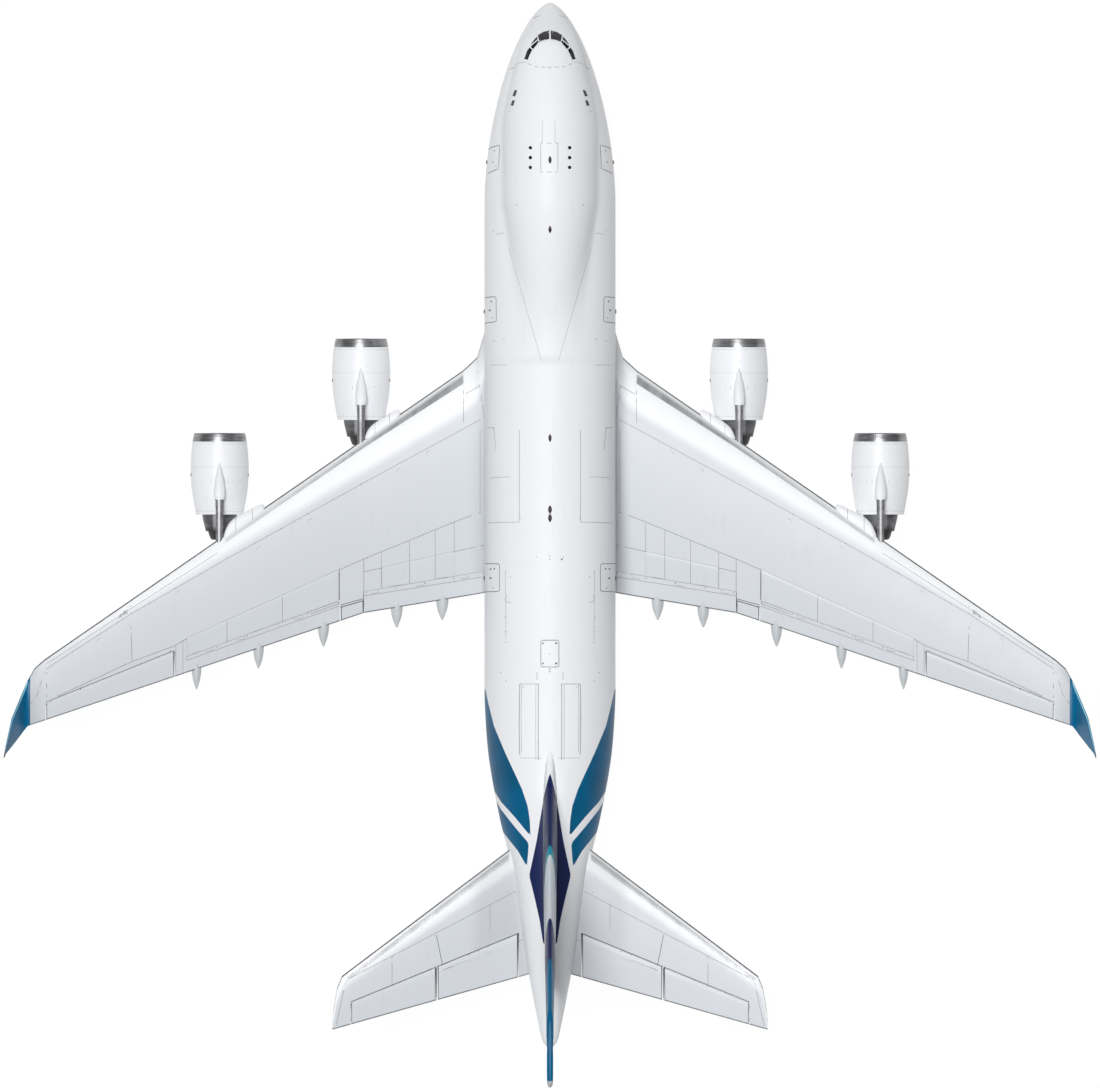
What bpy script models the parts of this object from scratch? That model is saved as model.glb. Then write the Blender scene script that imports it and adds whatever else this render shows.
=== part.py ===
"""Four-engine military transport plane, a half-scale model parked on its gear.

Metres, +Z up, nose towards -Y, left wing towards +X. A station s is measured aft from the nose tip.
The left half is built first, and the right half is its mirror image.
"""
import math

import bmesh
import bpy
from mathutils import Matrix, Vector

# Overall
NOSE_Y = -13.54
GAP = 0.0003
RUN_GAP = 0.006
PIN_PLAY = 0.0009
PIN_SIDES = 10
PIN_ROOT = 0.03
BORE_SPARE = 0.003
HINGE_PIN_RADIUS = 0.010
SPOILER_PIN_RADIUS = 0.0045
SPOILER_PIN_DEPTH = 0.025
CUT_HEIGHT = 0.6
CUT_BEHIND = 0.2
FLAT_ANGLE = 0.0004

# Fuselage
BODY_RADIUS = 1.64
BODY_AXIS_Z = 2.65
BODY_LENGTH = 26.15
BODY_SIDES = 32
NOSE_LENGTH = 5.0
NOSE_TIP_Z = 2.45
HUMP_HEIGHT = 0.675
HUMP_HALF_WIDTH = 1.15
HUMP_FADE_START = 4.95
HUMP_FADE_END = 9.0
TAIL_START = 16.6
TAIL_HALF_WIDTH = [(16.6, 1.64), (17.6, 1.632), (18.95, 1.525), (20.45, 1.25), (21.275, 1.05),
                   (24.325, 0.525), (25.85, 0.225), (26.05, 0.15), (26.15, 0.04)]
TAIL_TOP = [(16.6, 4.29), (19.0, 4.275), (21.0, 4.2), (23.5, 4.06), (25.0, 3.94), (25.85, 3.86),
            (26.05, 3.79), (26.15, 3.67)]
TAIL_BOTTOM = [(16.6, 1.01), (17.6, 1.05), (18.8, 1.26), (20.3, 1.72), (22.0, 2.28), (24.0, 2.89),
               (25.4, 3.29), (25.85, 3.43), (26.05, 3.51), (26.15, 3.6)]

# Lifting surfaces: span position, leading edge s, trailing edge s, height, thickness ratio, twist in degrees
WING_ROOT_Z = 1.60
WING_RISE = 0.118
WING_BEND = 0.001
WING_PLAN = [(0.45, 8.00, 14.60, 0.115, 2.2), (1.625, 8.20, 14.775, 0.115, 2.2),
             (1.825, 8.875, 14.81, 0.122, 2.2), (2.175, 9.20, 14.87, 0.122, 2.1),
             (4.66, 10.918, 15.28, 0.098, 1.2), (9.145, 14.018, 16.79, 0.085, 0.2),
             (12.65, 16.441, 17.97, 0.085, -0.6), (12.90, 16.66, 18.052, 0.083, -0.6),
             (13.07, 16.965, 18.11, 0.08, -0.6)]
STABILIZER_PLAN = [(0.25, 20.62, 24.24, 0.10), (1.075, 21.238, 24.47, 0.10), (5.20, 24.35, 25.63, 0.085),
                   (5.325, 24.65, 25.665, 0.08), (5.425, 25.25, 25.69, 0.08), (5.45, 25.55, 25.70, 0.07)]
FIN_PLAN = [(3.55, 18.5, 24.3, 0.062), (4.28, 18.75, 24.53, 0.062), (4.45, 19.38, 24.615, 0.07),
            (4.75, 19.84, 24.76, 0.074), (9.62, 25.12, 27.06, 0.09), (9.70, 25.42, 27.08, 0.035)]
CHORD_POINTS = [0.0, 0.008, 0.04, 0.12, 0.27, 0.5, 0.76, 1.0]
WING_CAMBER = 0.014

# Moving surfaces: span limits of the pocket, hinge line s at both limits
AILERON_INNER = (4.669, 5.25, 14.977, 15.137)
AILERON_OUTER = (9.40, 12.62, 16.27, 17.567)
ELEVATOR_INNER = (0.79, 2.826, 23.345, 24.178)
ELEVATOR_OUTER = (2.846, 4.985, 24.186, 25.06)
RUDDER_LOWER = (4.38, 6.90, 23.04, 24.70)
RUDDER_UPPER = (6.92, 9.46, 24.713, 26.386)
NOSE_FLATS = 4
SEAT_FLATS = 4
SEAT_HALF_ANGLE = 60.0
AILERON_TRAVEL = 25.0
ELEVATOR_TRAVEL = 22.0
RUDDER_TRAVEL = 27.0
# Spoilers: span limits, front line s at both limits, rear line s at both limits
SPOILER_INNER = (2.40, 4.21, 13.744, 14.145, 14.353, 14.657)
SPOILER_OUTER = (5.30, 9.10, 14.206, 15.926, 14.983, 16.360)
SPOILER_THICK = 0.016
# Flaps: span limits, front line s at both limits
FLAP_INNER = (1.70, 4.645, 14.235, 14.730)
FLAP_OUTER = (5.2703, 9.13, 14.973, 16.370)
CANOES = [(2.70, 14.55, 0.142), (3.84, 14.62, 0.136), (5.675, 14.95, 0.13), (7.30, 15.55, 0.122),
          (8.85, 16.1, 0.11)]
CANOE_SIDES = 6
CANOE_LEAD = 1.25
CANOE_FRONT = [(0.0, 0.12, 0.0), (0.19, 0.7, 0.1), (0.58, 1.0, 0.5)]
CANOE_TAIL = [(0.0, 0.98, 1.06), (0.25, 0.74, 1.36), (0.5, 0.12, 7.5)]

# Engines: span position, lip s, height, and the nacelle's profile as distance aft of the lip and radius
ENGINE_INNER = (4.733, 8.405, 1.22)
ENGINE_OUTER = (8.275, 10.772, 1.57)
ENGINE_SIDES = 20
COWL_OUTSIDE = [(0.0, 0.62), (0.03, 0.645), (0.215, 0.68), (0.55, 0.715), (0.9, 0.73), (1.25, 0.714),
                (1.5, 0.688), (2.04, 0.591)]
COWL_INSIDE = [(2.04, 0.577), (1.62, 0.612), (0.6, 0.612), (0.3, 0.575), (0.05, 0.597)]
DUCT_RADIUS = 0.612
CORE_PROFILE = [(0.80, 0.05), (0.882, 0.05), (0.882, 0.21), (0.95, 0.25), (1.10, 0.31), (1.6, 0.425),
                (2.04, 0.437), (2.46, 0.35), (2.46, 0.325), (2.30, 0.31), (2.30, 0.255), (2.46, 0.25),
                (2.64, 0.19), (2.67, 0.10)]
CORE_FRONT = 2
CORE_LIP = 8
CORE_PLUG = 11
STRUT_RING = 3
STRUT_EVERY = 4
FAN_BLADES = 16
FAN_FRONT = 0.74
FAN_BACK = 0.86
FAN_HUB_RADIUS = 0.20
FAN_TIP_RADIUS = 0.600
SPINNER_TIP = 0.42

# Landing gear
TYRE_RADIUS = 0.3113
TYRE_WIDTH = 0.216
WHEEL_SIDES = 12
AXLE_RADIUS = 0.045
MAIN_TWIN = 0.56
NOSE_TWIN = 0.457
BOGIE_HALF = 0.3675
WING_GEAR = (2.75, 12.90)
BODY_GEAR = (0.96, 14.42)
NOSE_GEAR_S = 3.85
NOSE_LEG_RADIUS = 0.085
NOSE_PISTON_RADIUS = 0.058
PISTON_SIDES = 16


def lerp(a, b, t):
    """The value a fraction t of the way from a to b."""
    return a + (b - a) * t


def smoothstep(t):
    """An S-shaped ramp from 0 to 1."""
    t = min(max(t, 0.0), 1.0)
    return t * t * (3.0 - 2.0 * t)


def flowing(points, u):
    """A smooth curve through (u, value) points, with central slopes."""
    last = len(points) - 1
    i = 0
    while i < last - 1 and u > points[i + 1][0]:
        i += 1

    def slope(k):
        a = points[max(k - 1, 0)]
        b = points[min(k + 1, last)]
        return (b[1] - a[1]) / (b[0] - a[0])

    (u0, v0), (u1, v1) = points[i], points[i + 1]
    span = u1 - u0
    t = min(max((u - u0) / span, 0.0), 1.0)
    h1 = t * t * (3.0 - 2.0 * t)
    rise = (t ** 3 - 2.0 * t * t + t) * slope(i) * span + (t ** 3 - t * t) * slope(i + 1) * span
    return lerp(v0, v1, h1) + rise


def at(x, s, z):
    """The point at lateral position x, station s and height z."""
    return Vector((x, NOSE_Y + s, z))


def make_object(name, points, faces):
    """A closed mesh object with its faces turned outwards and cut into triangles."""
    mesh = bpy.data.meshes.new(name)
    mesh.from_pydata([tuple(p) for p in points], [], faces)
    bm = bmesh.new()
    bm.from_mesh(mesh)
    bmesh.ops.remove_doubles(bm, verts=bm.verts, dist=1e-6)
    bmesh.ops.triangulate(bm, faces=bm.faces)
    bmesh.ops.recalc_face_normals(bm, faces=bm.faces)
    bm.to_mesh(mesh)
    bm.free()
    obj = bpy.data.objects.new(name, mesh)
    bpy.context.scene.collection.objects.link(obj)
    return obj


def loft(name, rings, two_handed=False):
    """A capped solid through rings of equally many points; two_handed mirrors the cuts in its second half."""
    count = len(rings[0])
    points = [p for ring in rings for p in ring]
    faces = []
    for i in range(len(rings) - 1):
        for j in range(count):
            a = i * count + j
            b = i * count + (j + 1) % count
            if two_handed and j >= count // 2:
                faces.append((a, b, a + count))
                faces.append((b, b + count, a + count))
            else:
                faces.append((a, b, b + count))
                faces.append((a, b + count, a + count))
    faces.append(tuple(range(count)))
    faces.append(tuple(range(len(points) - count, len(points))))
    return make_object(name, points, faces)


def frame_along(axis):
    """Two unit vectors square to an axis."""
    axis = axis.normalized()
    side = Vector((1.0, 0.0, 0.0)) if abs(axis.x) < 0.7 else Vector((0.0, 1.0, 0.0))
    side = (side - axis * side.dot(axis)).normalized()
    return side, axis.cross(side)


def circle(centre, axis, radius, count, phase=0.0):
    """Points of a regular polygon about an axis."""
    a, b = frame_along(axis)
    turns = [2.0 * math.pi * (k + phase) / count for k in range(count)]
    return [centre + a * (radius * math.cos(t)) + b * (radius * math.sin(t)) for t in turns]


def tube(name, start, end, radius, count=12, end_radius=None):
    """A round bar from start to end."""
    axis = end - start
    last = radius if end_radius is None else end_radius
    return loft(name, [circle(start, axis, radius, count), circle(end, axis, last, count)])


def lathe(name, profile, centre, axis, count, closed=False):
    """A turned solid from (distance along the axis, radius) points; closed makes a ring."""
    axis = axis.normalized()
    rings = [circle(centre + axis * a, axis, r, count) for a, r in profile]
    if not closed:
        return loft(name, rings)
    points = [p for ring in rings for p in ring]
    faces = []
    for i in range(len(rings)):
        k = (i + 1) % len(rings)
        for j in range(count):
            m = (j + 1) % count
            faces.append((i * count + j, i * count + m, k * count + m))
            faces.append((i * count + j, k * count + m, k * count + j))
    return make_object(name, points, faces)


def box(name, low, high):
    """A block between two corners."""
    xs, ys, zs = zip(low, high)
    bottom = [Vector((xs[i], ys[j], zs[0])) for i, j in ((0, 0), (1, 0), (1, 1), (0, 1))]
    top = [Vector((p.x, p.y, zs[1])) for p in bottom]
    return loft(name, [bottom, top])


def combine(target, tool, operation, keep=False):
    """Cuts a tool out of a target, or joins the two."""
    modifier = target.modifiers.new("combine", 'BOOLEAN')
    modifier.object = tool
    modifier.operation = operation
    modifier.solver = 'EXACT'
    bpy.context.view_layer.update()
    graph = bpy.context.evaluated_depsgraph_get()
    mesh = bpy.data.meshes.new_from_object(target.evaluated_get(graph))
    target.modifiers.clear()
    target.data = mesh
    bm = bmesh.new()
    bm.from_mesh(mesh)
    bmesh.ops.remove_doubles(bm, verts=bm.verts, dist=2e-6)
    bmesh.ops.dissolve_degenerate(bm, dist=1e-6, edges=bm.edges)
    bmesh.ops.dissolve_limit(bm, angle_limit=FLAT_ANGLE, verts=bm.verts, edges=bm.edges)
    bm.to_mesh(mesh)
    bm.free()
    if not keep:
        bpy.data.objects.remove(tool, do_unlink=True)
    return target


def cut(target, tool, keep=False):
    """Takes a tool's volume out of a target."""
    return combine(target, tool, 'DIFFERENCE', keep)


def join(target, *tools):
    """Fuses tools to a target."""
    for tool in tools:
        combine(target, tool, 'UNION')
    return target


def paint(obj, colour, roughness, metallic):
    """Gives an object its own paint or metal."""
    material = bpy.data.materials.new(obj.name + "_surface")
    material.use_nodes = True
    shader = material.node_tree.nodes["Principled BSDF"]
    shader.inputs["Base Color"].default_value = (*colour, 1.0)
    shader.inputs["Roughness"].default_value = roughness
    shader.inputs["Metallic"].default_value = metallic
    obj.data.materials.clear()
    obj.data.materials.append(material)


def finish(obj, look, origin=None, mirror=True, axis=None):
    """Names the left piece, cuts it into triangles, paints it and adds its mirror image."""
    name = obj.name
    bm = bmesh.new()
    bm.from_mesh(obj.data)
    bmesh.ops.triangulate(bm, faces=bm.faces)
    bm.to_mesh(obj.data)
    bm.free()
    if mirror:
        obj.name = name + "_left"
        twin = bpy.data.objects.new(name + "_right", obj.data.copy())
        twin.data.transform(Matrix.Diagonal((-1.0, 1.0, 1.0, 1.0)))
        twin.data.flip_normals()
        bpy.context.scene.collection.objects.link(twin)
    pieces = [(obj, 1.0)] + ([(twin, -1.0)] if mirror else [])
    for piece, side in pieces:
        piece.data.name = piece.name
        paint(piece, *look)
        if origin is not None:
            point = Vector((origin.x * side, origin.y, origin.z))
            piece.data.transform(Matrix.Translation(-point))
            piece.location = point
        if axis is not None:
            piece["axis"] = (axis.x * side, axis.y, axis.z)
    return obj


WHITE = ((0.86, 0.87, 0.89), 0.3, 0.0)
WING_GREY = ((0.68, 0.71, 0.75), 0.38, 0.0)
TEAL = ((0.0, 0.115, 0.236), 0.32, 0.0)
NAVY = ((0.014, 0.023, 0.107), 0.32, 0.0)
BARE_METAL = ((0.62, 0.63, 0.65), 0.28, 1.0)
DARK_METAL = ((0.12, 0.12, 0.13), 0.42, 1.0)
GEAR_WHITE = ((0.72, 0.73, 0.74), 0.4, 0.1)
RUBBER = ((0.025, 0.025, 0.027), 0.85, 0.0)


def nose_half_width(s):
    """Plan half-width of the nose."""
    back = 1.0 - max(s, 0.002) / NOSE_LENGTH
    return BODY_RADIUS * (1.0 - back ** 1.75) ** 0.62


def body_levels(s):
    """Half-width, bottom and crown of the main lobe at a station."""
    if s >= TAIL_START:
        return flowing(TAIL_HALF_WIDTH, s), flowing(TAIL_BOTTOM, s), flowing(TAIL_TOP, s)
    if s >= NOSE_LENGTH:
        return BODY_RADIUS, BODY_AXIS_Z - BODY_RADIUS, BODY_AXIS_Z + BODY_RADIUS
    back = 1.0 - max(s, 0.002) / NOSE_LENGTH
    bottom = NOSE_TIP_Z - (NOSE_TIP_Z - BODY_AXIS_Z + BODY_RADIUS) * (1.0 - back ** 2) ** 0.55
    crown = NOSE_TIP_Z + (BODY_AXIS_Z + BODY_RADIUS - NOSE_TIP_Z) * (1.0 - back ** 1.9) ** 0.6
    return nose_half_width(s), bottom, crown


def hump_shape(s):
    """Height of the upper deck above the crown and half-width of its crease."""
    if s < HUMP_FADE_START:
        return HUMP_HEIGHT * smoothstep(s / 1.1), min(0.8 * body_levels(s)[0], HUMP_HALF_WIDTH)
    t = min((s - HUMP_FADE_START) / (HUMP_FADE_END - HUMP_FADE_START), 1.0)
    return HUMP_HEIGHT * (1.0 - smoothstep(t)), HUMP_HALF_WIDTH * math.sqrt(1.0 - t)


def belly_squareness(s):
    """Exponent of the lower half's section: 2 is round, more is the fairing around the wing's root."""
    return 2.0 + 1.1 * smoothstep((s - 7.4) / 2.2) * (1.0 - smoothstep((s - 14.4) / 2.2))


def body_radius(s, angle):
    """Distance from the section's centre to the skin, at an angle from straight up."""
    half_width, bottom, crown = body_levels(s)
    half_height = (crown - bottom) / 2.0
    across = abs(math.sin(angle)) / half_width
    up = math.cos(angle) / half_height
    power = 2.0 if up > 0.0 else belly_squareness(s)
    radius = (across ** power + abs(up) ** power) ** (-1.0 / power)
    height, crease = hump_shape(s)
    if s < HUMP_FADE_END and up > 0.0 and crease > 0.01:
        level = half_height * math.sqrt(1.0 - (crease / half_width) ** 2)
        rise = half_height + height - level
        hump = (crease ** 2 + rise ** 2) / (2.0 * rise)
        middle = half_height + height - hump
        inside = hump ** 2 - (middle * math.sin(angle)) ** 2
        if inside > 0.0:
            upper = middle * math.cos(angle) + math.sqrt(inside)
            blend = 0.05 * half_width
            overlap = max(blend - abs(radius - upper), 0.0)
            radius = max(radius, upper) + overlap ** 2 / (4.0 * blend)
    return radius


def body_ring(s, grow=0.0):
    """One section of the fuselage."""
    _, bottom, crown = body_levels(s)
    middle = (bottom + crown) / 2.0
    ring = []
    for k in range(BODY_SIDES):
        angle = 2.0 * math.pi * k / BODY_SIDES
        radius = body_radius(s, angle) + grow
        ring.append(at(radius * math.sin(angle), s, middle + radius * math.cos(angle)))
    return ring


def fuselage_solid(name, grow=0.0):
    """The whole fuselage shell as a solid."""
    nose = [0.0, 0.035, 0.11, 0.24, 0.44, 0.72, 1.06, 1.5, 2.1, 2.9, 3.9, NOSE_LENGTH]
    hump = [6.0, 7.0, 7.8, 8.5, HUMP_FADE_END]
    middle = [9.7, 11.8, 14.4, 15.2, 16.0]
    tail = [16.7, 17.6, 18.5, 19.4, 20.4, 21.3, 22.8, 24.3, 25.3, 25.85, 26.05, BODY_LENGTH]
    return loft(name, [body_ring(s, grow) for s in nose + hump + middle + tail], True)


def outset(loop, distance):
    """A closed loop of (s, h) points moved outwards, for loops that run nose, top, tail, bottom."""
    moved = []
    for i, (s, h) in enumerate(loop):
        s0, h0 = loop[i - 1]
        s1, h1 = loop[(i + 1) % len(loop)]
        length = math.hypot(s1 - s0, h1 - h0) or 1.0
        moved.append((s - (h1 - h0) / length * distance, h + (s1 - s0) / length * distance))
    return moved


class Surface:
    """A wing-like solid ruled between sections; place turns (span, s, h) into a point."""

    def __init__(self, plan, level, camber, place):
        self.place = place
        self.stations = []
        for row in plan:
            u, front, back, ratio = row[:4]
            twist = math.radians(row[4]) if len(row) > 4 else 0.0
            self.stations.append((u, front, back, level(u), ratio, twist, camber))

    def skins(self, station):
        """Upper and lower heights at the chord points of a defining section."""
        u, front, back, level, ratio, twist, camber = station
        chord = back - front
        upper = []
        lower = []
        for c in CHORD_POINTS:
            half = 5.0 * ratio * (0.2969 * math.sqrt(c) - 0.126 * c - 0.3516 * c ** 2
                                  + 0.2843 * c ** 3 - 0.1015 * c ** 4)
            centre = level + chord * (math.tan(twist) * (0.4 - c) + 4.0 * camber * c * (1.0 - c))
            upper.append(centre + half * chord)
            lower.append(centre - half * chord)
        return upper, lower

    def bounding(self, u):
        """The two defining sections around a span position, and the fraction between them."""
        i = 0
        while i < len(self.stations) - 2 and u > self.stations[i + 1][0]:
            i += 1
        a, b = self.stations[i], self.stations[i + 1]
        return a, b, (u - a[0]) / (b[0] - a[0])

    def edges(self, u):
        """Leading and trailing edge stations."""
        a, b, t = self.bounding(u)
        return lerp(a[1], b[1], t), lerp(a[2], b[2], t)

    def heights(self, u, s):
        """Upper and lower skin heights at a span position and a station."""
        a, b, t = self.bounding(u)
        front, back = self.edges(u)
        c = min(max((s - front) / (back - front), 0.0), 1.0)
        k = 0
        while k < len(CHORD_POINTS) - 2 and c > CHORD_POINTS[k + 1]:
            k += 1
        part = (c - CHORD_POINTS[k]) / (CHORD_POINTS[k + 1] - CHORD_POINTS[k])
        sides = []
        for which in (0, 1):
            ha = self.skins(a)[which]
            hb = self.skins(b)[which]
            sides.append(lerp(lerp(ha[k], ha[k + 1], part), lerp(hb[k], hb[k + 1], part), t))
        return sides[0], sides[1]

    def section(self, station, grow):
        """The closed outline of a defining section, as (s, h) points."""
        upper, lower = self.skins(station)
        front, back = station[1], station[2]
        place_s = [lerp(front, back, c) for c in CHORD_POINTS]
        loop = list(zip(place_s, upper)) + list(zip(place_s, lower))[:0:-1]
        return outset(loop, grow) if grow else loop

    def solid(self, name, grow=0.0):
        """The whole surface."""
        rings = []
        last = len(self.stations) - 1
        for i, station in enumerate(self.stations):
            u = station[0] + (grow if i == last else 0.0)
            rings.append([self.place(u, s, h) for s, h in self.section(station, grow)])
        return loft(name, rings)

    def spans(self, u0, u1):
        """The span positions of a piece: its ends and the defining sections between them."""
        inner = [st[0] for st in self.stations if u0 + 0.01 < st[0] < u1 - 0.01]
        return [u0] + inner + [u1]


def plate(name, place, spans, outline):
    """A solid lofted along a span from outlines of (s, h) points; place turns (u, s, h) into a point."""
    return loft(name, [[place(u, s, h) for s, h in outline(u)] for u in spans])


def arc(centre_s, centre_h, radius, start, end, count, stretch=1.0):
    """Points of an arc in a section, in degrees, 0 pointing aft and 90 up; stretch lengthens it in s."""
    points = []
    for k in range(count + 1):
        angle = math.radians(lerp(start, end, k / count))
        reach = radius * stretch * math.cos(angle)
        points.append((centre_s + reach, centre_h + radius * math.sin(angle)))
    return points


class Hinge:
    """The hinge line of a moving trailing surface and its half thickness along the span."""

    def __init__(self, surface, row):
        self.surface = surface
        self.u0, self.u1, self.s0, self.s1 = row
        self.low = self.values(self.u0)
        self.high = self.values(self.u1)
        self.sweep = (self.s1 - self.s0) / (self.u1 - self.u0)
        self.rise = (self.high[1] - self.low[1]) / (self.u1 - self.u0)
        self.stretch = math.hypot(1.0, self.sweep)

    def values(self, u):
        """Station, height and nose radius of the line, from the skins at this span position."""
        s = lerp(self.s0, self.s1, (u - self.u0) / (self.u1 - self.u0))
        upper, lower = self.surface.heights(u, s)
        return s, (upper + lower) / 2.0, (upper - lower) / 2.0

    def line(self, u):
        """Station, height and nose radius along the straight line between the two ends."""
        t = (u - self.u0) / (self.u1 - self.u0)
        return tuple(lerp(a, b, t) for a, b in zip(self.low, self.high))

    def point(self, u):
        """A point on the hinge line."""
        s, h, _ = self.line(u)
        return self.surface.place(u, s, h)

    def axis(self):
        """Unit vector along the hinge line."""
        return (self.point(self.u1) - self.point(self.u0)).normalized()

    def square(self, u, s, h):
        """A point of the rib that stands square to the skin and meets the hinge line at u."""
        return self.surface.place(u - self.rise * (h - self.line(u)[1]), s, h)

    def drift(self, u, outline, travel, direction):
        """How far the rib at u moves along the span, in a direction, as the piece turns to its limits."""
        s, h, _ = self.line(u)
        pivot = self.square(u, s, h)
        chordwise = self.square(u, s + 1.0, h) - pivot
        upwards = self.square(u, s, h + 1.0) - pivot
        normal = chordwise.cross(upwards).normalized()
        if normal.dot(self.axis()) < 0.0:
            normal.negate()
        farthest = 0.0
        for angle in (-travel, travel):
            turn = Matrix.Rotation(math.radians(angle), 3, self.axis())
            for point in outline(u):
                moved = turn @ (self.square(u, *point) - pivot)
                farthest = max(farthest, direction * normal.dot(moved))
        return farthest


def moving_surface(name, surface, row, travel, pin_depth, look, mirror=True):
    """A trailing surface with a round nose and an end pin at each end, and its pocket in the surface."""
    hinge = Hinge(surface, row)
    u0, u1 = row[0], row[1]

    def outline(u):
        s, h, r = hinge.line(u)
        back = surface.edges(u)[1]
        middle = lerp(s, back, 0.5)
        upper_mid, lower_mid = surface.heights(u, middle)
        upper, lower = surface.heights(u, back)
        nose = arc(s, h, r, 270.0, 90.0, NOSE_FLATS, hinge.stretch)
        return nose + [(middle, upper_mid), (back, upper), (back, lower), (middle, lower_mid)]

    def pocket(u):
        s, h, r = hinge.line(u)
        reach = (r + RUN_GAP) / math.cos(math.radians(SEAT_HALF_ANGLE / SEAT_FLATS))
        back = surface.edges(u)[1] + CUT_BEHIND
        seat = arc(s, h, reach, 180.0 + SEAT_HALF_ANGLE, 180.0 - SEAT_HALF_ANGLE, SEAT_FLATS, hinge.stretch)
        wall = seat[0][0]
        low, high = h - CUT_HEIGHT, h + CUT_HEIGHT
        return [(back, low), (wall, low)] + seat + [(wall, high), (back, high)]

    inner_gap = RUN_GAP + hinge.drift(u0, outline, travel, -1.0)
    outer_gap = RUN_GAP + hinge.drift(u1, outline, travel, 1.0)
    first = u0 + inner_gap
    last = u1 - outer_gap
    piece = plate(name, hinge.square, [first, last], outline)
    pocket_solid = plate(name + "_pocket", hinge.square, [u0, u1], pocket)
    pins = []
    for u, direction, clear in ((first, -1.0, inner_gap), (last, 1.0, outer_gap)):
        inside = hinge.point(u - direction * PIN_ROOT)
        outside = hinge.point(u + direction * (clear + pin_depth))
        pins.append(tube("pin", inside, outside, HINGE_PIN_RADIUS, PIN_SIDES))
        bore_end = hinge.point(u + direction * (clear + pin_depth + BORE_SPARE))
        bore = tube("bore", inside, bore_end, HINGE_PIN_RADIUS + PIN_PLAY, PIN_SIDES)
        join(pocket_solid, bore)
    join(piece, *pins)
    middle_u = (u0 + u1) / 2.0
    finish(piece, look, hinge.point(middle_u), mirror, hinge.axis())
    return pocket_solid


def spoiler(name, surface, row):
    """A lift-dumping plate in the upper skin, hinged along its front edge, and its recess."""
    u0, u1, front0, front1, back0, back1 = row
    radius = SPOILER_THICK / 2.0
    ends = {}
    for u, front in ((u0, front0), (u1, front1)):
        ends[u] = (front, surface.heights(u, front)[0] - radius)

    def line(u):
        t = (u - u0) / (u1 - u0)
        return tuple(lerp(a, b, t) for a, b in zip(ends[u0], ends[u1]))

    def rear(u):
        return lerp(back0, back1, (u - u0) / (u1 - u0))

    def outline(u):
        s, h = line(u)
        back = rear(u) - RUN_GAP
        middle = lerp(s, back, 0.5)
        skin_mid = surface.heights(u, middle)[0]
        skin_back = surface.heights(u, back)[0]
        under = SPOILER_THICK
        nose = arc(s, h, radius, 270.0, 90.0, 4)
        return nose + [(middle, skin_mid), (back, skin_back), (back, skin_back - under),
                       (middle, skin_mid - under)]

    def recess(u):
        s, h = line(u)
        back = rear(u) + 0.012
        floor = radius + RUN_GAP
        skin_back = surface.heights(u, back)[0]
        middle = lerp(s, back, 0.5)
        skin_mid = surface.heights(u, middle)[0]
        low = SPOILER_THICK + RUN_GAP + 0.003
        front = s - radius - RUN_GAP
        return [(back, skin_back - low), (middle, skin_mid - low), (s, h - floor - 0.003),
                (front, h - floor - 0.003), (front, h + 0.5), (back, h + 0.5)]

    first = u0 + RUN_GAP
    last = u1 - RUN_GAP
    piece = plate(name, surface.place, [first, last], outline)
    recess_solid = plate(name + "_recess", surface.place, [u0, u1], recess)
    for u, direction in ((first, -1.0), (last, 1.0)):
        inner = u - direction * PIN_ROOT
        outer = u + direction * (RUN_GAP + SPOILER_PIN_DEPTH)
        end = outer + direction * BORE_SPARE
        inside, outside, beyond = (surface.place(p, *line(p)) for p in (inner, outer, end))
        join(piece, tube("pin", inside, outside, SPOILER_PIN_RADIUS, PIN_SIDES))
        join(recess_solid, tube("bore", inside, beyond, SPOILER_PIN_RADIUS + PIN_PLAY, PIN_SIDES))
    middle_u = (u0 + u1) / 2.0
    start = surface.place(u0, *line(u0))
    end = surface.place(u1, *line(u1))
    finish(piece, WING_GREY, surface.place(middle_u, *line(middle_u)), True, (end - start).normalized())
    return recess_solid


def flap(name, surface, row, grow=0.0):
    """A fixed flap that closes the rear of the wing."""
    u0, u1, front0, front1 = row

    def outline(u):
        s = lerp(front0, front1, (u - u0) / (u1 - u0))
        back = surface.edges(u)[1]
        stops = [s, lerp(s, back, 0.35), lerp(s, back, 0.7), back]
        upper = [(p, surface.heights(u, p)[0]) for p in stops]
        lower = [(p, surface.heights(u, p)[1]) for p in reversed(stops)]
        return outset(upper + lower, grow) if grow else upper + lower

    first, last = u0 - grow, u1 + grow
    return plate(name, surface.place, surface.spans(first, last), outline)


def flap_pocket(name, surface, row):
    """The block that clears a flap out of the wing."""
    u0, u1, front0, front1 = row

    def outline(u):
        s = lerp(front0, front1, (u - u0) / (u1 - u0)) - GAP
        level = surface.heights(u, s)[0]
        back = surface.edges(u)[1] + 0.3
        return [(s, level - 0.9), (s, level + 0.5), (back, level + 0.5), (back, level - 0.9)]

    return plate(name, surface.place, [u0 - GAP, u1 + GAP], outline)


def wing_level(u):
    """Height of the wing's chord line, with dihedral and a slight bend."""
    out = max(u - 1.625, 0.0)
    return WING_ROOT_Z + WING_RISE * (u - 1.625) + WING_BEND * out * out


def wing_place(u, s, h):
    """A point on the left wing or tailplane."""
    return at(u, s, h)


def fin_place(u, s, h):
    """A point on the fin, whose span runs up."""
    return at(h, s, u)


WING = Surface(WING_PLAN, wing_level, WING_CAMBER, wing_place)
STABILIZER = Surface(STABILIZER_PLAN, lambda u: 3.35 + 0.125 * (u - 0.5), 0.0, wing_place)
FIN = Surface(FIN_PLAN, lambda u: 0.0, 0.0, fin_place)


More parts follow.
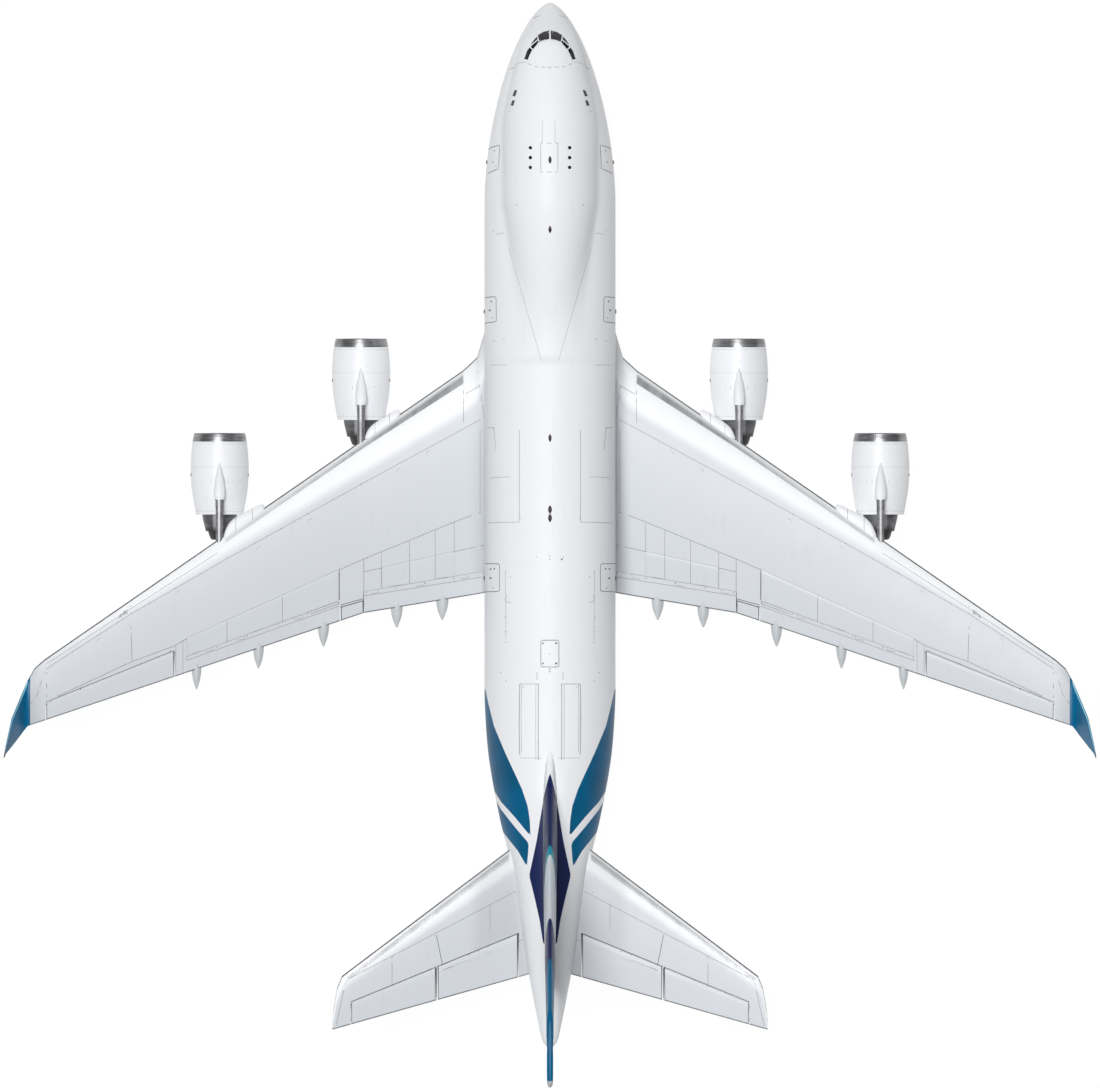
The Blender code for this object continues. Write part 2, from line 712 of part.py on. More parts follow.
def canoe(surface, x, front, width):
    """The fairing over one flap track, from under the wing to well behind the flap."""
    edge = surface.edges(x)[1]
    start = front - CANOE_LEAD
    stops = [(lerp(start, edge, t), size, sink) for t, size, sink in CANOE_FRONT]
    stops += [(edge + behind, size, sink) for behind, size, sink in CANOE_TAIL]
    rings = []
    for s, size, sink in stops:
        lower = surface.heights(x, min(s, edge))[1]
        half = width * size
        centre = at(x, s, lower - sink * half)
        ring = []
        for k in range(CANOE_SIDES):
            angle = 2.0 * math.pi * k / CANOE_SIDES
            ring.append(centre + Vector((half * math.cos(angle), 0.0, 1.15 * half * math.sin(angle))))
        rings.append(ring)
    return loft("canoe", rings)


def jack_pad(x, s, level):
    """A round pad under the skin for a lifting jack, with a flat bottom face."""
    return tube("pad", at(x, s, level + 0.10), at(x, s, level - 0.02), 0.06, 12)


def build_wing():
    """The left wing with its pockets, and everything that sits in them."""
    tools = [moving_surface("aileron_inner", WING, AILERON_INNER, AILERON_TRAVEL, 0.012, WING_GREY),
             moving_surface("aileron_outer", WING, AILERON_OUTER, AILERON_TRAVEL, 0.03, WING_GREY),
             spoiler("spoiler_inner", WING, SPOILER_INNER),
             spoiler("spoiler_outer", WING, SPOILER_OUTER),
             flap_pocket("pocket", WING, FLAP_INNER),
             flap_pocket("pocket", WING, FLAP_OUTER)]
    wing = WING.solid("wing")
    cut(wing, fuselage_solid("cutter", GAP))
    for tool in tools:
        cut(wing, tool)
    grown = [flap("grown", WING, FLAP_INNER, 0.0006), flap("grown", WING, FLAP_OUTER, 0.0006)]
    for x, front, width in CANOES:
        fairing = canoe(WING, x, front, width)
        cut(fairing, grown[0] if x < 4.6 else grown[1], True)
        join(wing, fairing)
    for item in grown:
        bpy.data.objects.remove(item, do_unlink=True)
    pad_x, pad_s = 5.7, 13.4
    join(wing, jack_pad(pad_x, pad_s, WING.heights(pad_x, pad_s)[1]))
    finish(wing, WING_GREY)
    finish(flap("flap_inner", WING, FLAP_INNER), WING_GREY)
    finish(flap("flap_outer", WING, FLAP_OUTER), WING_GREY)


def build_winglet():
    """The upturned tip with its swept leading edge."""
    tip = WING.stations[-1]
    upper, lower = WING.skins(tip)
    level = tip[3]
    rows = [(13.0703, 0.0, 16.965, 18.11, 6.0, 0.08), (13.16, 0.05, 17.175, 18.22, 42.0, 0.08),
            (13.245, 0.20, 17.385, 18.34, 64.0, 0.075), (13.45, 0.79, 17.885, 18.61, 71.0, 0.075),
            (13.60, 1.25, 18.57, 18.80, 72.0, 0.08), (13.65, 1.40, 18.84, 18.93, 72.0, 0.08)]
    rings = []
    for x, rise, front, back, cant, ratio in rows:
        chord = back - front
        tilt = math.radians(cant)
        normal = Vector((-math.sin(tilt), 0.0, math.cos(tilt)))
        base_u = (upper[0] + lower[0]) / 2.0
        ring = []
        stops = [(c, 1.0) for c in CHORD_POINTS] + [(c, -1.0) for c in CHORD_POINTS[:0:-1]]
        for c, side in stops:
            half = 5.0 * ratio * (0.2969 * math.sqrt(c) - 0.126 * c - 0.3516 * c ** 2
                                  + 0.2843 * c ** 3 - 0.1015 * c ** 4) * chord
            centre = at(x, lerp(front, back, c), base_u + rise)
            ring.append(centre + normal * (half * side))
        rings.append(ring)
    winglet = loft("winglet", rings)
    cut(winglet, box("cutter", at(12.0, 15.0, level - 1.0), at(13.0703, 20.0, level + 1.0)))
    finish(winglet, TEAL)


def build_tail():
    """Stabilizer with two elevators a side, and the fin with two rudders."""
    pockets = []
    for name, row in (("elevator_inner", ELEVATOR_INNER), ("elevator_outer", ELEVATOR_OUTER)):
        pockets.append(moving_surface(name, STABILIZER, row, ELEVATOR_TRAVEL, 0.008, WING_GREY))
    stabilizer = STABILIZER.solid("stabilizer")
    cut(stabilizer, fuselage_solid("cutter", GAP))
    for tool in pockets:
        cut(stabilizer, tool)
    finish(stabilizer, WING_GREY)
    pockets = [moving_surface("rudder_lower", FIN, RUDDER_LOWER, RUDDER_TRAVEL, 0.008, TEAL, False),
               moving_surface("rudder_upper", FIN, RUDDER_UPPER, RUDDER_TRAVEL, 0.008, TEAL, False)]
    fin = FIN.solid("fin")
    cut(fin, fuselage_solid("cutter", GAP))
    for tool in pockets:
        cut(fin, tool)
    finish(fin, TEAL, None, False)


def fan_solid(name, centre):
    """Spinner, hub and blades in one turned and drawn-out body, with a blind bore for the shaft."""
    count = 2 * FAN_BLADES
    blade_share = 0.38
    skew = {0: -0.05, 1: 0.05}
    points = []
    faces = []

    def angle(k, edge, extra=0.0):
        whole, odd = divmod(k, 2)
        return 2.0 * math.pi * (whole + (blade_share if odd else 0.0)) / FAN_BLADES + skew[edge] + extra

    def ring(a, r, edge):
        base = len(points)
        for k in range(count):
            t = angle(k, edge)
            points.append(centre + Vector((r * math.sin(t), a, r * math.cos(t))))
        return base

    rings = [ring(FAN_FRONT - 0.16, FAN_HUB_RADIUS * 0.68, 0), ring(FAN_FRONT, FAN_HUB_RADIUS, 0),
             ring(FAN_BACK, FAN_HUB_RADIUS, 1), ring(FAN_BACK, 0.05 + PIN_PLAY, 1),
             ring(FAN_FRONT + 0.05, 0.05 + PIN_PLAY, 1)]
    tip = len(points)
    points.append(centre + Vector((0.0, SPINNER_TIP, 0.0)))
    for k in range(count):
        faces.append((tip, rings[0] + k, rings[0] + (k + 1) % count))
    for i, (a, b) in enumerate(zip(rings, rings[1:])):
        for k in range(count):
            m = (k + 1) % count
            if i == 1 and k % 2 == 0:
                continue
            faces.append((a + k, b + k, b + m))
            faces.append((a + k, b + m, a + m))
    faces.append(tuple(rings[4] + k for k in range(count)))
    for k in range(0, count, 2):
        m = k + 1
        root = [rings[1] + k, rings[1] + m, rings[2] + m, rings[2] + k]
        base = len(points)
        for edge, which, a in ((0, k, FAN_FRONT + 0.01), (0, m, FAN_FRONT + 0.01),
                               (1, m, FAN_BACK), (1, k, FAN_BACK)):
            lean = (-0.09 if edge == 0 else 0.09) - (0.06 if which == m else 0.0)
            t = angle(which, edge, lean)
            points.append(centre + Vector((FAN_TIP_RADIUS * math.sin(t), a, FAN_TIP_RADIUS * math.cos(t))))
        for q in range(4):
            p = (q + 1) % 4
            faces.append((root[q], root[p], base + p))
            faces.append((root[q], base + p, base + q))
        faces.append((base, base + 1, base + 2, base + 3))
    return make_object(name, points, faces)


def core_solid(name, centre, profile, struts=True):
    """The engine's core cowl with its exit guide struts, its exhaust nozzle and its plug."""
    count = ENGINE_SIDES
    axis = Vector((0.0, 1.0, 0.0))
    rings = [circle(centre + axis * a, axis, r, count) for a, r in profile]
    points = [p for one in rings for p in one]
    faces = [tuple(range(count)), tuple(range(len(points) - count, len(points)))]
    for i in range(len(rings) - 1):
        for j in range(count):
            m = (j + 1) % count
            a, b, c, d = i * count + j, i * count + m, (i + 1) * count + m, (i + 1) * count + j
            if struts and i == STRUT_RING and j % STRUT_EVERY == 0:
                base = len(points)
                for corner in (a, b, c, d):
                    flat = points[corner] - centre
                    out = Vector((flat.x, 0.0, flat.z)).normalized() * (DUCT_RADIUS - 0.0005)
                    points.append(centre + Vector((out.x, flat.y, out.z)))
                root = (a, b, c, d)
                for q in range(4):
                    p = (q + 1) % 4
                    faces.append((root[q], root[p], base + p))
                    faces.append((root[q], base + p, base + q))
                faces.append((base, base + 1, base + 2, base + 3))
            else:
                faces.append((a, b, c))
                faces.append((a, c, d))
    return make_object(name, points, faces)


def pylon_solid(x, lip, level):
    """The strut that hangs the engine from the wing, with its fairing over the cowl."""
    front_edge = WING.edges(x)[0] - lip
    edge_level = sum(WING.heights(x, lip + front_edge)) / 2.0 - level
    rear = front_edge + 1.35
    rear_level = WING.heights(x, lip + rear)[1] - level
    rows = [(0.74, 0.015, 0.66, 0.745), (0.92, 0.07, 0.66, 0.79), (1.25, 0.125, 0.66, 0.855),
            (1.44, 0.14, 0.64, 0.885), (1.46, 0.142, 0.40, 0.888), (1.62, 0.14, 0.40, 0.90),
            (1.70, 0.10, 0.40, 0.907), (2.04, 0.092, 0.40, 0.93),
            (front_edge, 0.09, 0.30, edge_level + 0.07), (front_edge + 0.2, 0.09, 0.36, edge_level + 0.07),
            (lerp(front_edge, rear, 0.5), 0.09, lerp(0.36, rear_level, 0.45), rear_level + 0.08),
            (rear, 0.02, rear_level - 0.02, rear_level + 0.06)]
    rings = []
    for a, half, bottom, top in rows:
        shoulder = lerp(top, bottom, 0.35) if top - bottom < 0.2 else top - 0.06
        outline = [(half * 0.8, bottom), (half, lerp(bottom, shoulder, 0.3)), (half, shoulder),
                   (half * 0.55, top), (-half * 0.55, top), (-half, shoulder),
                   (-half, lerp(bottom, shoulder, 0.3)), (-half * 0.8, bottom)]
        rings.append([at(x + dx, lip + a, level + dz) for dx, dz in outline])
    return loft("pylon", rings)


def build_engine(label, x, lip, level):
    """One engine with its fan, core, cowl and pylon."""
    centre = at(x, lip, level)
    axis = Vector((0.0, 1.0, 0.0))
    cowl = lathe("cowl_" + label, COWL_OUTSIDE + COWL_INSIDE, centre, axis, ENGINE_SIDES, True)
    core = core_solid("core_" + label, centre, CORE_PROFILE)
    fan = fan_solid("fan_" + label, centre)
    pylon = pylon_solid(x, lip, level)
    pylon.name = "pylon_" + label
    walls = [(a, r + GAP) for a, r in COWL_OUTSIDE] + [(a, r - GAP) for a, r in COWL_INSIDE]
    for i in (len(COWL_OUTSIDE) - 1, len(COWL_OUTSIDE)):
        walls[i] = (walls[i][0] + GAP, walls[i][1])
    cut(pylon, lathe("cutter", walls, centre, axis, ENGINE_SIDES, True))
    outside = CORE_PROFILE[CORE_FRONT:CORE_LIP] + CORE_PROFILE[CORE_PLUG:]
    grown = [(a + 2.0 * GAP, r + 2.0 * GAP) for a, r in outside]
    cut(pylon, lathe("cutter", grown, centre, axis, ENGINE_SIDES))
    cut(pylon, WING.solid("cutter", 0.0004))
    finish(cowl, WHITE)
    finish(core, DARK_METAL)
    finish(fan, BARE_METAL, centre + axis * FAN_FRONT, True, axis)
    finish(pylon, WHITE)


def twin_wheels(name, x, s, twin, look=RUBBER, mirror=True):
    """Two tyres and their wheels on one turning axle."""
    half = twin / 2.0
    inner = half - TYRE_WIDTH / 2.0
    outer = half + TYRE_WIDTH / 2.0
    side = [(half - 0.135, AXLE_RADIUS), (inner, 0.165), (inner, 0.262), (half - 0.066, TYRE_RADIUS),
            (half + 0.066, TYRE_RADIUS), (outer, 0.262), (outer, 0.165), (outer - 0.05, 0.13)]
    profile = [(-a, r) for a, r in reversed(side)] + side
    centre = at(x, s, TYRE_RADIUS)
    axis = Vector((1.0, 0.0, 0.0))
    wheels = lathe(name, profile, centre, axis, WHEEL_SIDES)
    finish(wheels, look, centre, mirror, axis)


def main_leg(name, x, s, top_level, cutter, inboard):
    """A main leg: oleo strut, four-wheel bogie beam, torque links and braces, up to the skin above."""
    beam_z = TYRE_RADIUS
    leg = tube(name, at(x, s, 0.78), at(x, s, top_level + 0.12), 0.105, 12)
    front = s - BOGIE_HALF
    back = s + BOGIE_HALF
    pieces = [tube("piston", at(x, s, beam_z), at(x, s, 0.82), 0.07, 10),
              box("beam", at(x - 0.06, front, beam_z - 0.055), at(x + 0.06, back, beam_z + 0.075)),
              tube("hub", at(x - 0.075, front, beam_z), at(x + 0.075, front, beam_z), 0.085, 10),
              tube("hub", at(x - 0.075, back, beam_z), at(x + 0.075, back, beam_z), 0.085, 10),
              box("link", at(x - 0.02, s - 0.19, 0.46), at(x + 0.02, s - 0.04, 0.86)),
              tube("drag", at(x, s - 0.02, 0.82), at(x, s - 0.75, top_level + 0.12), 0.04, 8),
              tube("side", at(x, s, 0.84), at(x + inboard * 0.62, s + 0.05, top_level + 0.10), 0.04, 8)]
    join(leg, *pieces)
    for station in (front, back):
        bore = tube("bore", at(x - 0.2, station, beam_z), at(x + 0.2, station, beam_z),
                    AXLE_RADIUS + PIN_PLAY, 2 * WHEEL_SIDES)
        cut(leg, bore)
    cut(leg, cutter)
    finish(leg, GEAR_WHITE)


def nose_gear():
    """Nose leg, steering fork, twin wheels and the two doors that hang open beside them."""
    s = NOSE_GEAR_S
    top = body_levels(s)[1]
    leg = tube("nose_leg", at(0.0, s, 0.72), at(0.0, s, top + 0.4), NOSE_LEG_RADIUS, 14)
    join(leg, tube("drag", at(0.0, s + 0.02, 0.86), at(0.0, s - 0.85, top + 0.35), 0.04, 8))
    cut(leg, tube("bore", at(0.0, s, 0.5), at(0.0, s, 0.98), NOSE_PISTON_RADIUS + PIN_PLAY,
                  2 * PISTON_SIDES))
    cut(leg, fuselage_solid("cutter", GAP))
    finish(leg, GEAR_WHITE, None, False)
    fork = tube("nose_fork", at(0.0, s, TYRE_RADIUS + 0.01), at(0.0, s, 0.97), NOSE_PISTON_RADIUS,
                PISTON_SIDES)
    pieces = [tube("collar", at(0.0, s, 0.59), at(0.0, s, 0.714), 0.10, 12),
              tube("hub", at(-0.075, s, TYRE_RADIUS), at(0.075, s, TYRE_RADIUS), 0.085, 12),
              box("link", at(-0.03, s - 0.16, 0.42), at(0.03, s - 0.03, 0.48)),
              box("link", at(-0.028, s - 0.158, 0.47), at(0.028, s - 0.12, 0.63)),
              box("link", at(-0.03, s - 0.16, 0.62), at(0.03, s - 0.03, 0.68)),
              box("lug", at(-0.05, s - 0.21, TYRE_RADIUS - 0.03), at(0.05, s - 0.06, TYRE_RADIUS + 0.03))]
    join(fork, *pieces)
    cut(fork, tube("bore", at(-0.2, s, TYRE_RADIUS), at(0.2, s, TYRE_RADIUS),
                   AXLE_RADIUS + PIN_PLAY, 2 * WHEEL_SIDES))
    finish(fork, GEAR_WHITE, at(0.0, s, TYRE_RADIUS), False, Vector((0.0, 0.0, 1.0)))
    twin_wheels("nose_wheels", 0.0, s, NOSE_TWIN, RUBBER, False)
    rows = []
    for station in (s - 0.95, s + 0.75):
        low = 0.70
        rows.append([at(0.44, station, low), at(0.455, station, low), at(0.41, station, 1.35),
                     at(0.395, station, 1.35)])
    door = loft("nose_gear_door", rows)
    cut(door, fuselage_solid("cutter", GAP))
    finish(door, WHITE)


def build_gear():
    """Main legs under the wing and under the belly with eight twin-wheel axles, and the nose gear."""
    x, s = WING_GEAR
    level = WING.heights(x, s)[1]
    main_leg("wing_gear", x, s, level, WING.solid("cutter", 0.0004), -1.0)
    twin_wheels("wheels_wing_front", x, s - BOGIE_HALF, MAIN_TWIN)
    twin_wheels("wheels_wing_rear", x, s + BOGIE_HALF, MAIN_TWIN)
    x, s = BODY_GEAR
    main_leg("body_gear", x, s, 1.12, fuselage_solid("cutter", GAP), -0.8)
    twin_wheels("wheels_body_front", x, s - BOGIE_HALF, MAIN_TWIN)
    twin_wheels("wheels_body_rear", x, s + BOGIE_HALF, MAIN_TWIN)
    nose_gear()


def build():
    """The whole aircraft."""
    for obj in list(bpy.data.objects):
        bpy.data.objects.remove(obj, do_unlink=True)
    fuselage = fuselage_solid("fuselage")
    join(fuselage, jack_pad(0.0, 2.45, body_levels(2.45)[1]))
    finish(fuselage, WHITE, None, False)
    build_wing()
    build_winglet()
    build_tail()
    build_engine("inner", *ENGINE_INNER)
    build_engine("outer", *ENGINE_OUTER)
    build_gear()


build()
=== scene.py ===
"""The look of the parked four-engine transport plane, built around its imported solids."""
import math
import bmesh
import bpy
import numpy as np
from mathutils import Matrix, Vector


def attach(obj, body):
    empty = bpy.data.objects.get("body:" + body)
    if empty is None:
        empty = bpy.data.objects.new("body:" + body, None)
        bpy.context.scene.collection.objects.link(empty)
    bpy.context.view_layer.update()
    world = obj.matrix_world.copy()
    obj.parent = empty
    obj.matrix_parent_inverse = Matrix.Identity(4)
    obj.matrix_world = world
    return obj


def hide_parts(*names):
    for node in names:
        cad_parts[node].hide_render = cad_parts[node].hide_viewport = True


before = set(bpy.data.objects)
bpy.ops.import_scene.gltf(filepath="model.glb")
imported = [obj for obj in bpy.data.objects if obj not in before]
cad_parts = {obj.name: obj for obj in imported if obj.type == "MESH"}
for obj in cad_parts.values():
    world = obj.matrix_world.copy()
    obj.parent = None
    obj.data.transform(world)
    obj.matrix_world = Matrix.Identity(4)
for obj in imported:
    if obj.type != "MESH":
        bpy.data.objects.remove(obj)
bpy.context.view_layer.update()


# Studio
# A plain pale floor under the tyres, seen from straight above through a long lens. One broad soft lamp
# hangs almost overhead, a little to the aircraft's left, under a dim sky that is brightest at its top.
LENS = 1650.0
CAMERA_HEIGHT = 1264.6
FLOOR_HALF = 60.0


def studio():
    scene = bpy.context.scene
    data = bpy.data.cameras.new("overhead")
    data.lens = LENS
    data.sensor_width = 36.0
    data.clip_end = 2000.0
    camera = bpy.data.objects.new("overhead", data)
    camera.location = (0.0, 0.0125, CAMERA_HEIGHT)
    camera.rotation_euler = (0.0, 0.0, math.pi)
    scene.collection.objects.link(camera)
    scene.camera = camera
    scene.view_settings.view_transform = 'Standard'
    mesh = bpy.data.meshes.new("floor")
    half = FLOOR_HALF
    mesh.from_pydata([(-half, -half, 0), (half, -half, 0), (half, half, 0), (-half, half, 0)], [], [(0, 1, 2, 3)])
    floor = bpy.data.objects.new("floor", mesh)
    scene.collection.objects.link(floor)
    material = bpy.data.materials.new("pale_floor")
    material.use_nodes = True
    shader = material.node_tree.nodes["Principled BSDF"]
    shader.inputs["Base Color"].default_value = (0.07, 0.07, 0.07, 1.0)
    shader.inputs["Roughness"].default_value = 0.9
    shader.inputs["Specular IOR Level"].default_value = 0.0
    shader.inputs["Emission Color"].default_value = (1.0, 1.0, 1.0, 1.0)
    shader.inputs["Emission Strength"].default_value = 0.95
    mesh.materials.append(material)
    world = bpy.data.worlds.new("soft_sky")
    scene.world = world
    world.use_nodes = True
    tree = world.node_tree
    background = tree.nodes["Background"]
    coords = tree.nodes.new("ShaderNodeTexCoord")
    split = tree.nodes.new("ShaderNodeSeparateXYZ")
    ramp = tree.nodes.new("ShaderNodeMapRange")
    ramp.inputs["From Min"].default_value = 0.1
    ramp.inputs["From Max"].default_value = 1.0
    ramp.inputs["To Min"].default_value = 0.08
    ramp.inputs["To Max"].default_value = 0.30
    tree.links.new(coords.outputs["Generated"], split.inputs[0])
    tree.links.new(split.outputs["Z"], ramp.inputs["Value"])
    tree.links.new(ramp.outputs["Result"], background.inputs["Strength"])
    background.inputs["Color"].default_value = (0.96, 0.98, 1.0, 1.0)
    lamp = bpy.data.lights.new("broad_lamp", 'SUN')
    lamp.energy = 2.75
    lamp.angle = math.radians(28.0)
    light = bpy.data.objects.new("broad_lamp", lamp)
    light.location = (4.0, -3.0, 30.0)
    light.rotation_euler = (-Vector(light.location)).to_track_quat('-Z', 'Y').to_euler()
    scene.collection.objects.link(light)


studio()


# Fuselage skin
# Riveted aluminium skins over hoops and stringers, painted gloss white, with the upper deck's bulge faired
# into the crown. Teal swooshes climb both sides of the tail to a navy diamond at the foot of the fin.
UNIT = 0.025
NOSE_Y = -13.54
BODY_RADIUS = 1.64
BODY_AXIS_Z = 2.65
NOSE_LENGTH = 5.0
NOSE_TIP_Z = 2.45
HUMP_HEIGHT = 0.675
HUMP_HALF_WIDTH = 1.15
HUMP_FADE_START = 4.95
HUMP_FADE_END = 9.0
TAIL_START = 16.6
BODY_LENGTH = 26.15
TAIL_HALF_WIDTH = [(16.6, 1.64), (17.6, 1.632), (18.95, 1.525), (20.45, 1.25), (21.275, 1.05),
                   (24.325, 0.525), (25.85, 0.225), (26.05, 0.15), (26.15, 0.04)]
TAIL_TOP = [(16.6, 4.29), (19.0, 4.275), (21.0, 4.2), (23.5, 4.06), (25.0, 3.94), (25.85, 3.86),
            (26.05, 3.79), (26.15, 3.67)]
TAIL_BOTTOM = [(16.6, 1.01), (17.6, 1.05), (18.8, 1.26), (20.3, 1.72), (22.0, 2.28), (24.0, 2.89),
               (25.4, 3.29), (25.85, 3.43), (26.05, 3.51), (26.15, 3.6)]


def lerp(a, b, t):
    return a + (b - a) * t


def smoothstep(t):
    t = min(max(t, 0.0), 1.0)
    return t * t * (3.0 - 2.0 * t)


def row(down):
    """Station aft of the nose for a row of the plan drawing, whose unit is 25 mm."""
    return (down - 1.9) * UNIT


def at(x, s, z):
    return Vector((x, NOSE_Y + s, z))


def flowing(points, u):
    last = len(points) - 1
    i = 0
    while i < last - 1 and u > points[i + 1][0]:
        i += 1

    def slope(k):
        a = points[max(k - 1, 0)]
        b = points[min(k + 1, last)]
        return (b[1] - a[1]) / (b[0] - a[0])

    (u0, v0), (u1, v1) = points[i], points[i + 1]
    span = u1 - u0
    t = min(max((u - u0) / span, 0.0), 1.0)
    rise = (t ** 3 - 2.0 * t * t + t) * slope(i) * span + (t ** 3 - t * t) * slope(i + 1) * span
    return lerp(v0, v1, t * t * (3.0 - 2.0 * t)) + rise


def body_levels(s):
    """Half-width, bottom and crown of the main lobe at a station."""
    if s >= TAIL_START:
        return flowing(TAIL_HALF_WIDTH, s), flowing(TAIL_BOTTOM, s), flowing(TAIL_TOP, s)
    if s >= NOSE_LENGTH:
        return BODY_RADIUS, BODY_AXIS_Z - BODY_RADIUS, BODY_AXIS_Z + BODY_RADIUS
    back = 1.0 - max(s, 0.002) / NOSE_LENGTH
    bottom = NOSE_TIP_Z - (NOSE_TIP_Z - BODY_AXIS_Z + BODY_RADIUS) * (1.0 - back ** 2) ** 0.55
    crown = NOSE_TIP_Z + (BODY_AXIS_Z + BODY_RADIUS - NOSE_TIP_Z) * (1.0 - back ** 1.9) ** 0.6
    return BODY_RADIUS * (1.0 - back ** 1.75) ** 0.62, bottom, crown


def hump_shape(s):
    if s < HUMP_FADE_START:
        return HUMP_HEIGHT * smoothstep(s / 1.1), min(0.8 * body_levels(s)[0], HUMP_HALF_WIDTH)
    t = min((s - HUMP_FADE_START) / (HUMP_FADE_END - HUMP_FADE_START), 1.0)
    return HUMP_HEIGHT * (1.0 - smoothstep(t)), HUMP_HALF_WIDTH * math.sqrt(1.0 - t)


def belly_squareness(s):
    return 2.0 + 1.1 * smoothstep((s - 7.4) / 2.2) * (1.0 - smoothstep((s - 14.4) / 2.2))


def body_radius(s, angle):
    """Distance from the section's centre to the skin, at an angle from straight up."""
    half_width, bottom, crown = body_levels(s)
    half_height = (crown - bottom) / 2.0
    across = abs(math.sin(angle)) / half_width
    up = math.cos(angle) / half_height
    power = 2.0 if up > 0.0 else belly_squareness(s)
    radius = (across ** power + abs(up) ** power) ** (-1.0 / power)
    height, crease = hump_shape(s)
    if s < HUMP_FADE_END and up > 0.0 and crease > 0.01:
        level = half_height * math.sqrt(1.0 - (crease / half_width) ** 2)
        rise = half_height + height - level
        hump = (crease ** 2 + rise ** 2) / (2.0 * rise)
        middle = half_height + height - hump
        inside = hump ** 2 - (middle * math.sin(angle)) ** 2
        if inside > 0.0:
            upper = middle * math.cos(angle) + math.sqrt(inside)
            blend = 0.11 * half_width
            overlap = max(blend - abs(radius - upper), 0.0)
            radius = max(radius, upper) + overlap ** 2 / (4.0 * blend)
    return radius


def body_point(angle, s, lift=0.0):
    """A point on the fuselage at an angle from the crown, lifted off the skin."""
    _, bottom, crown = body_levels(s)
    radius = body_radius(s, angle) + lift
    return at(radius * math.sin(angle), s, (bottom + crown) / 2.0 + radius * math.cos(angle))


def body_angle(x, s):
    """The angle from the crown at which the upper skin has this lateral position."""
    low, high = 0.0, math.pi / 2.0
    for _ in range(26):
        middle = (low + high) / 2.0
        if body_radius(s, middle) * math.sin(middle) < abs(x):
            low = middle
        else:
            high = middle
    return math.copysign(low, x)


def link(name, points, faces, smooth=40.0, fix=False):
    """A mesh object from points and faces, with its faces turned outwards if asked."""
    mesh = bpy.data.meshes.new(name)
    mesh.from_pydata([tuple(p) for p in points], [], faces)
    if fix:
        bm = bmesh.new()
        bm.from_mesh(mesh)
        bmesh.ops.remove_doubles(bm, verts=bm.verts, dist=1e-6)
        bmesh.ops.recalc_face_normals(bm, faces=bm.faces)
        bm.to_mesh(mesh)
        bm.free()
    mesh.shade_smooth()
    mesh.set_sharp_from_angle(angle=math.radians(smooth))
    obj = bpy.data.objects.new(name, mesh)
    bpy.context.scene.collection.objects.link(obj)
    return obj


def loft(name, rings, smooth=40.0, closed=False):
    """A skin through rings of equally many points, capped at its ends or closed into a ring."""
    count = len(rings[0])
    points = [p for ring in rings for p in ring]
    faces = []
    for i in range(len(rings) - (0 if closed else 1)):
        k = (i + 1) % len(rings)
        for j in range(count):
            m = (j + 1) % count
            faces.append((i * count + j, i * count + m, k * count + m, k * count + j))
    if not closed:
        faces.append(tuple(range(count)))
        faces.append(tuple(range(len(points) - count, len(points))))
    return link(name, points, faces, smooth, True)


def frame_along(axis):
    axis = axis.normalized()
    side = Vector((1.0, 0.0, 0.0)) if abs(axis.x) < 0.7 else Vector((0.0, 1.0, 0.0))
    side = (side - axis * side.dot(axis)).normalized()
    return side, axis.cross(side)


def circle(centre, axis, radius, count, phase=0.0):
    a, b = frame_along(axis)
    turns = [2.0 * math.pi * (k + phase) / count for k in range(count)]
    return [centre + a * (radius * math.cos(t)) + b * (radius * math.sin(t)) for t in turns]


def inside_distance(points, outline):
    """Distance from each point to a closed outline, positive inside it."""
    ends = np.roll(outline, -1, axis=0)
    best = np.full(len(points), 1e9)
    inside = np.zeros(len(points), dtype=bool)
    for a, b in zip(outline, ends):
        edge = b - a
        t = np.clip(((points - a) @ edge) / (edge @ edge), 0.0, 1.0)
        best = np.minimum(best, np.linalg.norm(points - a - t[:, None] * edge, axis=1))
        crosses = (a[1] > points[:, 1]) != (b[1] > points[:, 1])
        level = (points[:, 1] - a[1]) / (b[1] - a[1] if b[1] != a[1] else 1e-9)
        inside ^= crosses & (points[:, 0] < a[0] + level * edge[0])
    return np.where(inside, best, -best)


def attribute(obj, name, values):
    layer = obj.data.attributes.new(name, 'FLOAT', 'POINT')
    layer.data.foreach_set("value", np.asarray(values, dtype=np.float32))


class Value:
    """A number, colour or vector inside a finish; arithmetic on it adds the finish's nodes."""

    def __init__(self, finish, socket):
        self.finish = finish
        self.socket = socket

    def math(self, operation, *others):
        return self.finish.node("ShaderNodeMath", {"operation": operation}, {0: self, **dict(enumerate(others, 1))})

    def __add__(self, other):
        return self.math('ADD', other)

    def __sub__(self, other):
        return self.math('SUBTRACT', other)

    def __mul__(self, other):
        return self.math('MULTIPLY', other)

    def __truediv__(self, other):
        return self.math('DIVIDE', other)

    def __rsub__(self, other):
        return self.math('MULTIPLY', -1.0).math('ADD', other)

    __radd__ = __add__
    __rmul__ = __mul__

    def size(self):
        return self.math('ABSOLUTE')

    def rise(self, low, high):
        """0 below low and 1 above high, with a smooth ramp between."""
        return self.finish.node("ShaderNodeMapRange", {"interpolation_type": 'SMOOTHSTEP'},
                                {"Value": self, "From Min": low, "From Max": high})


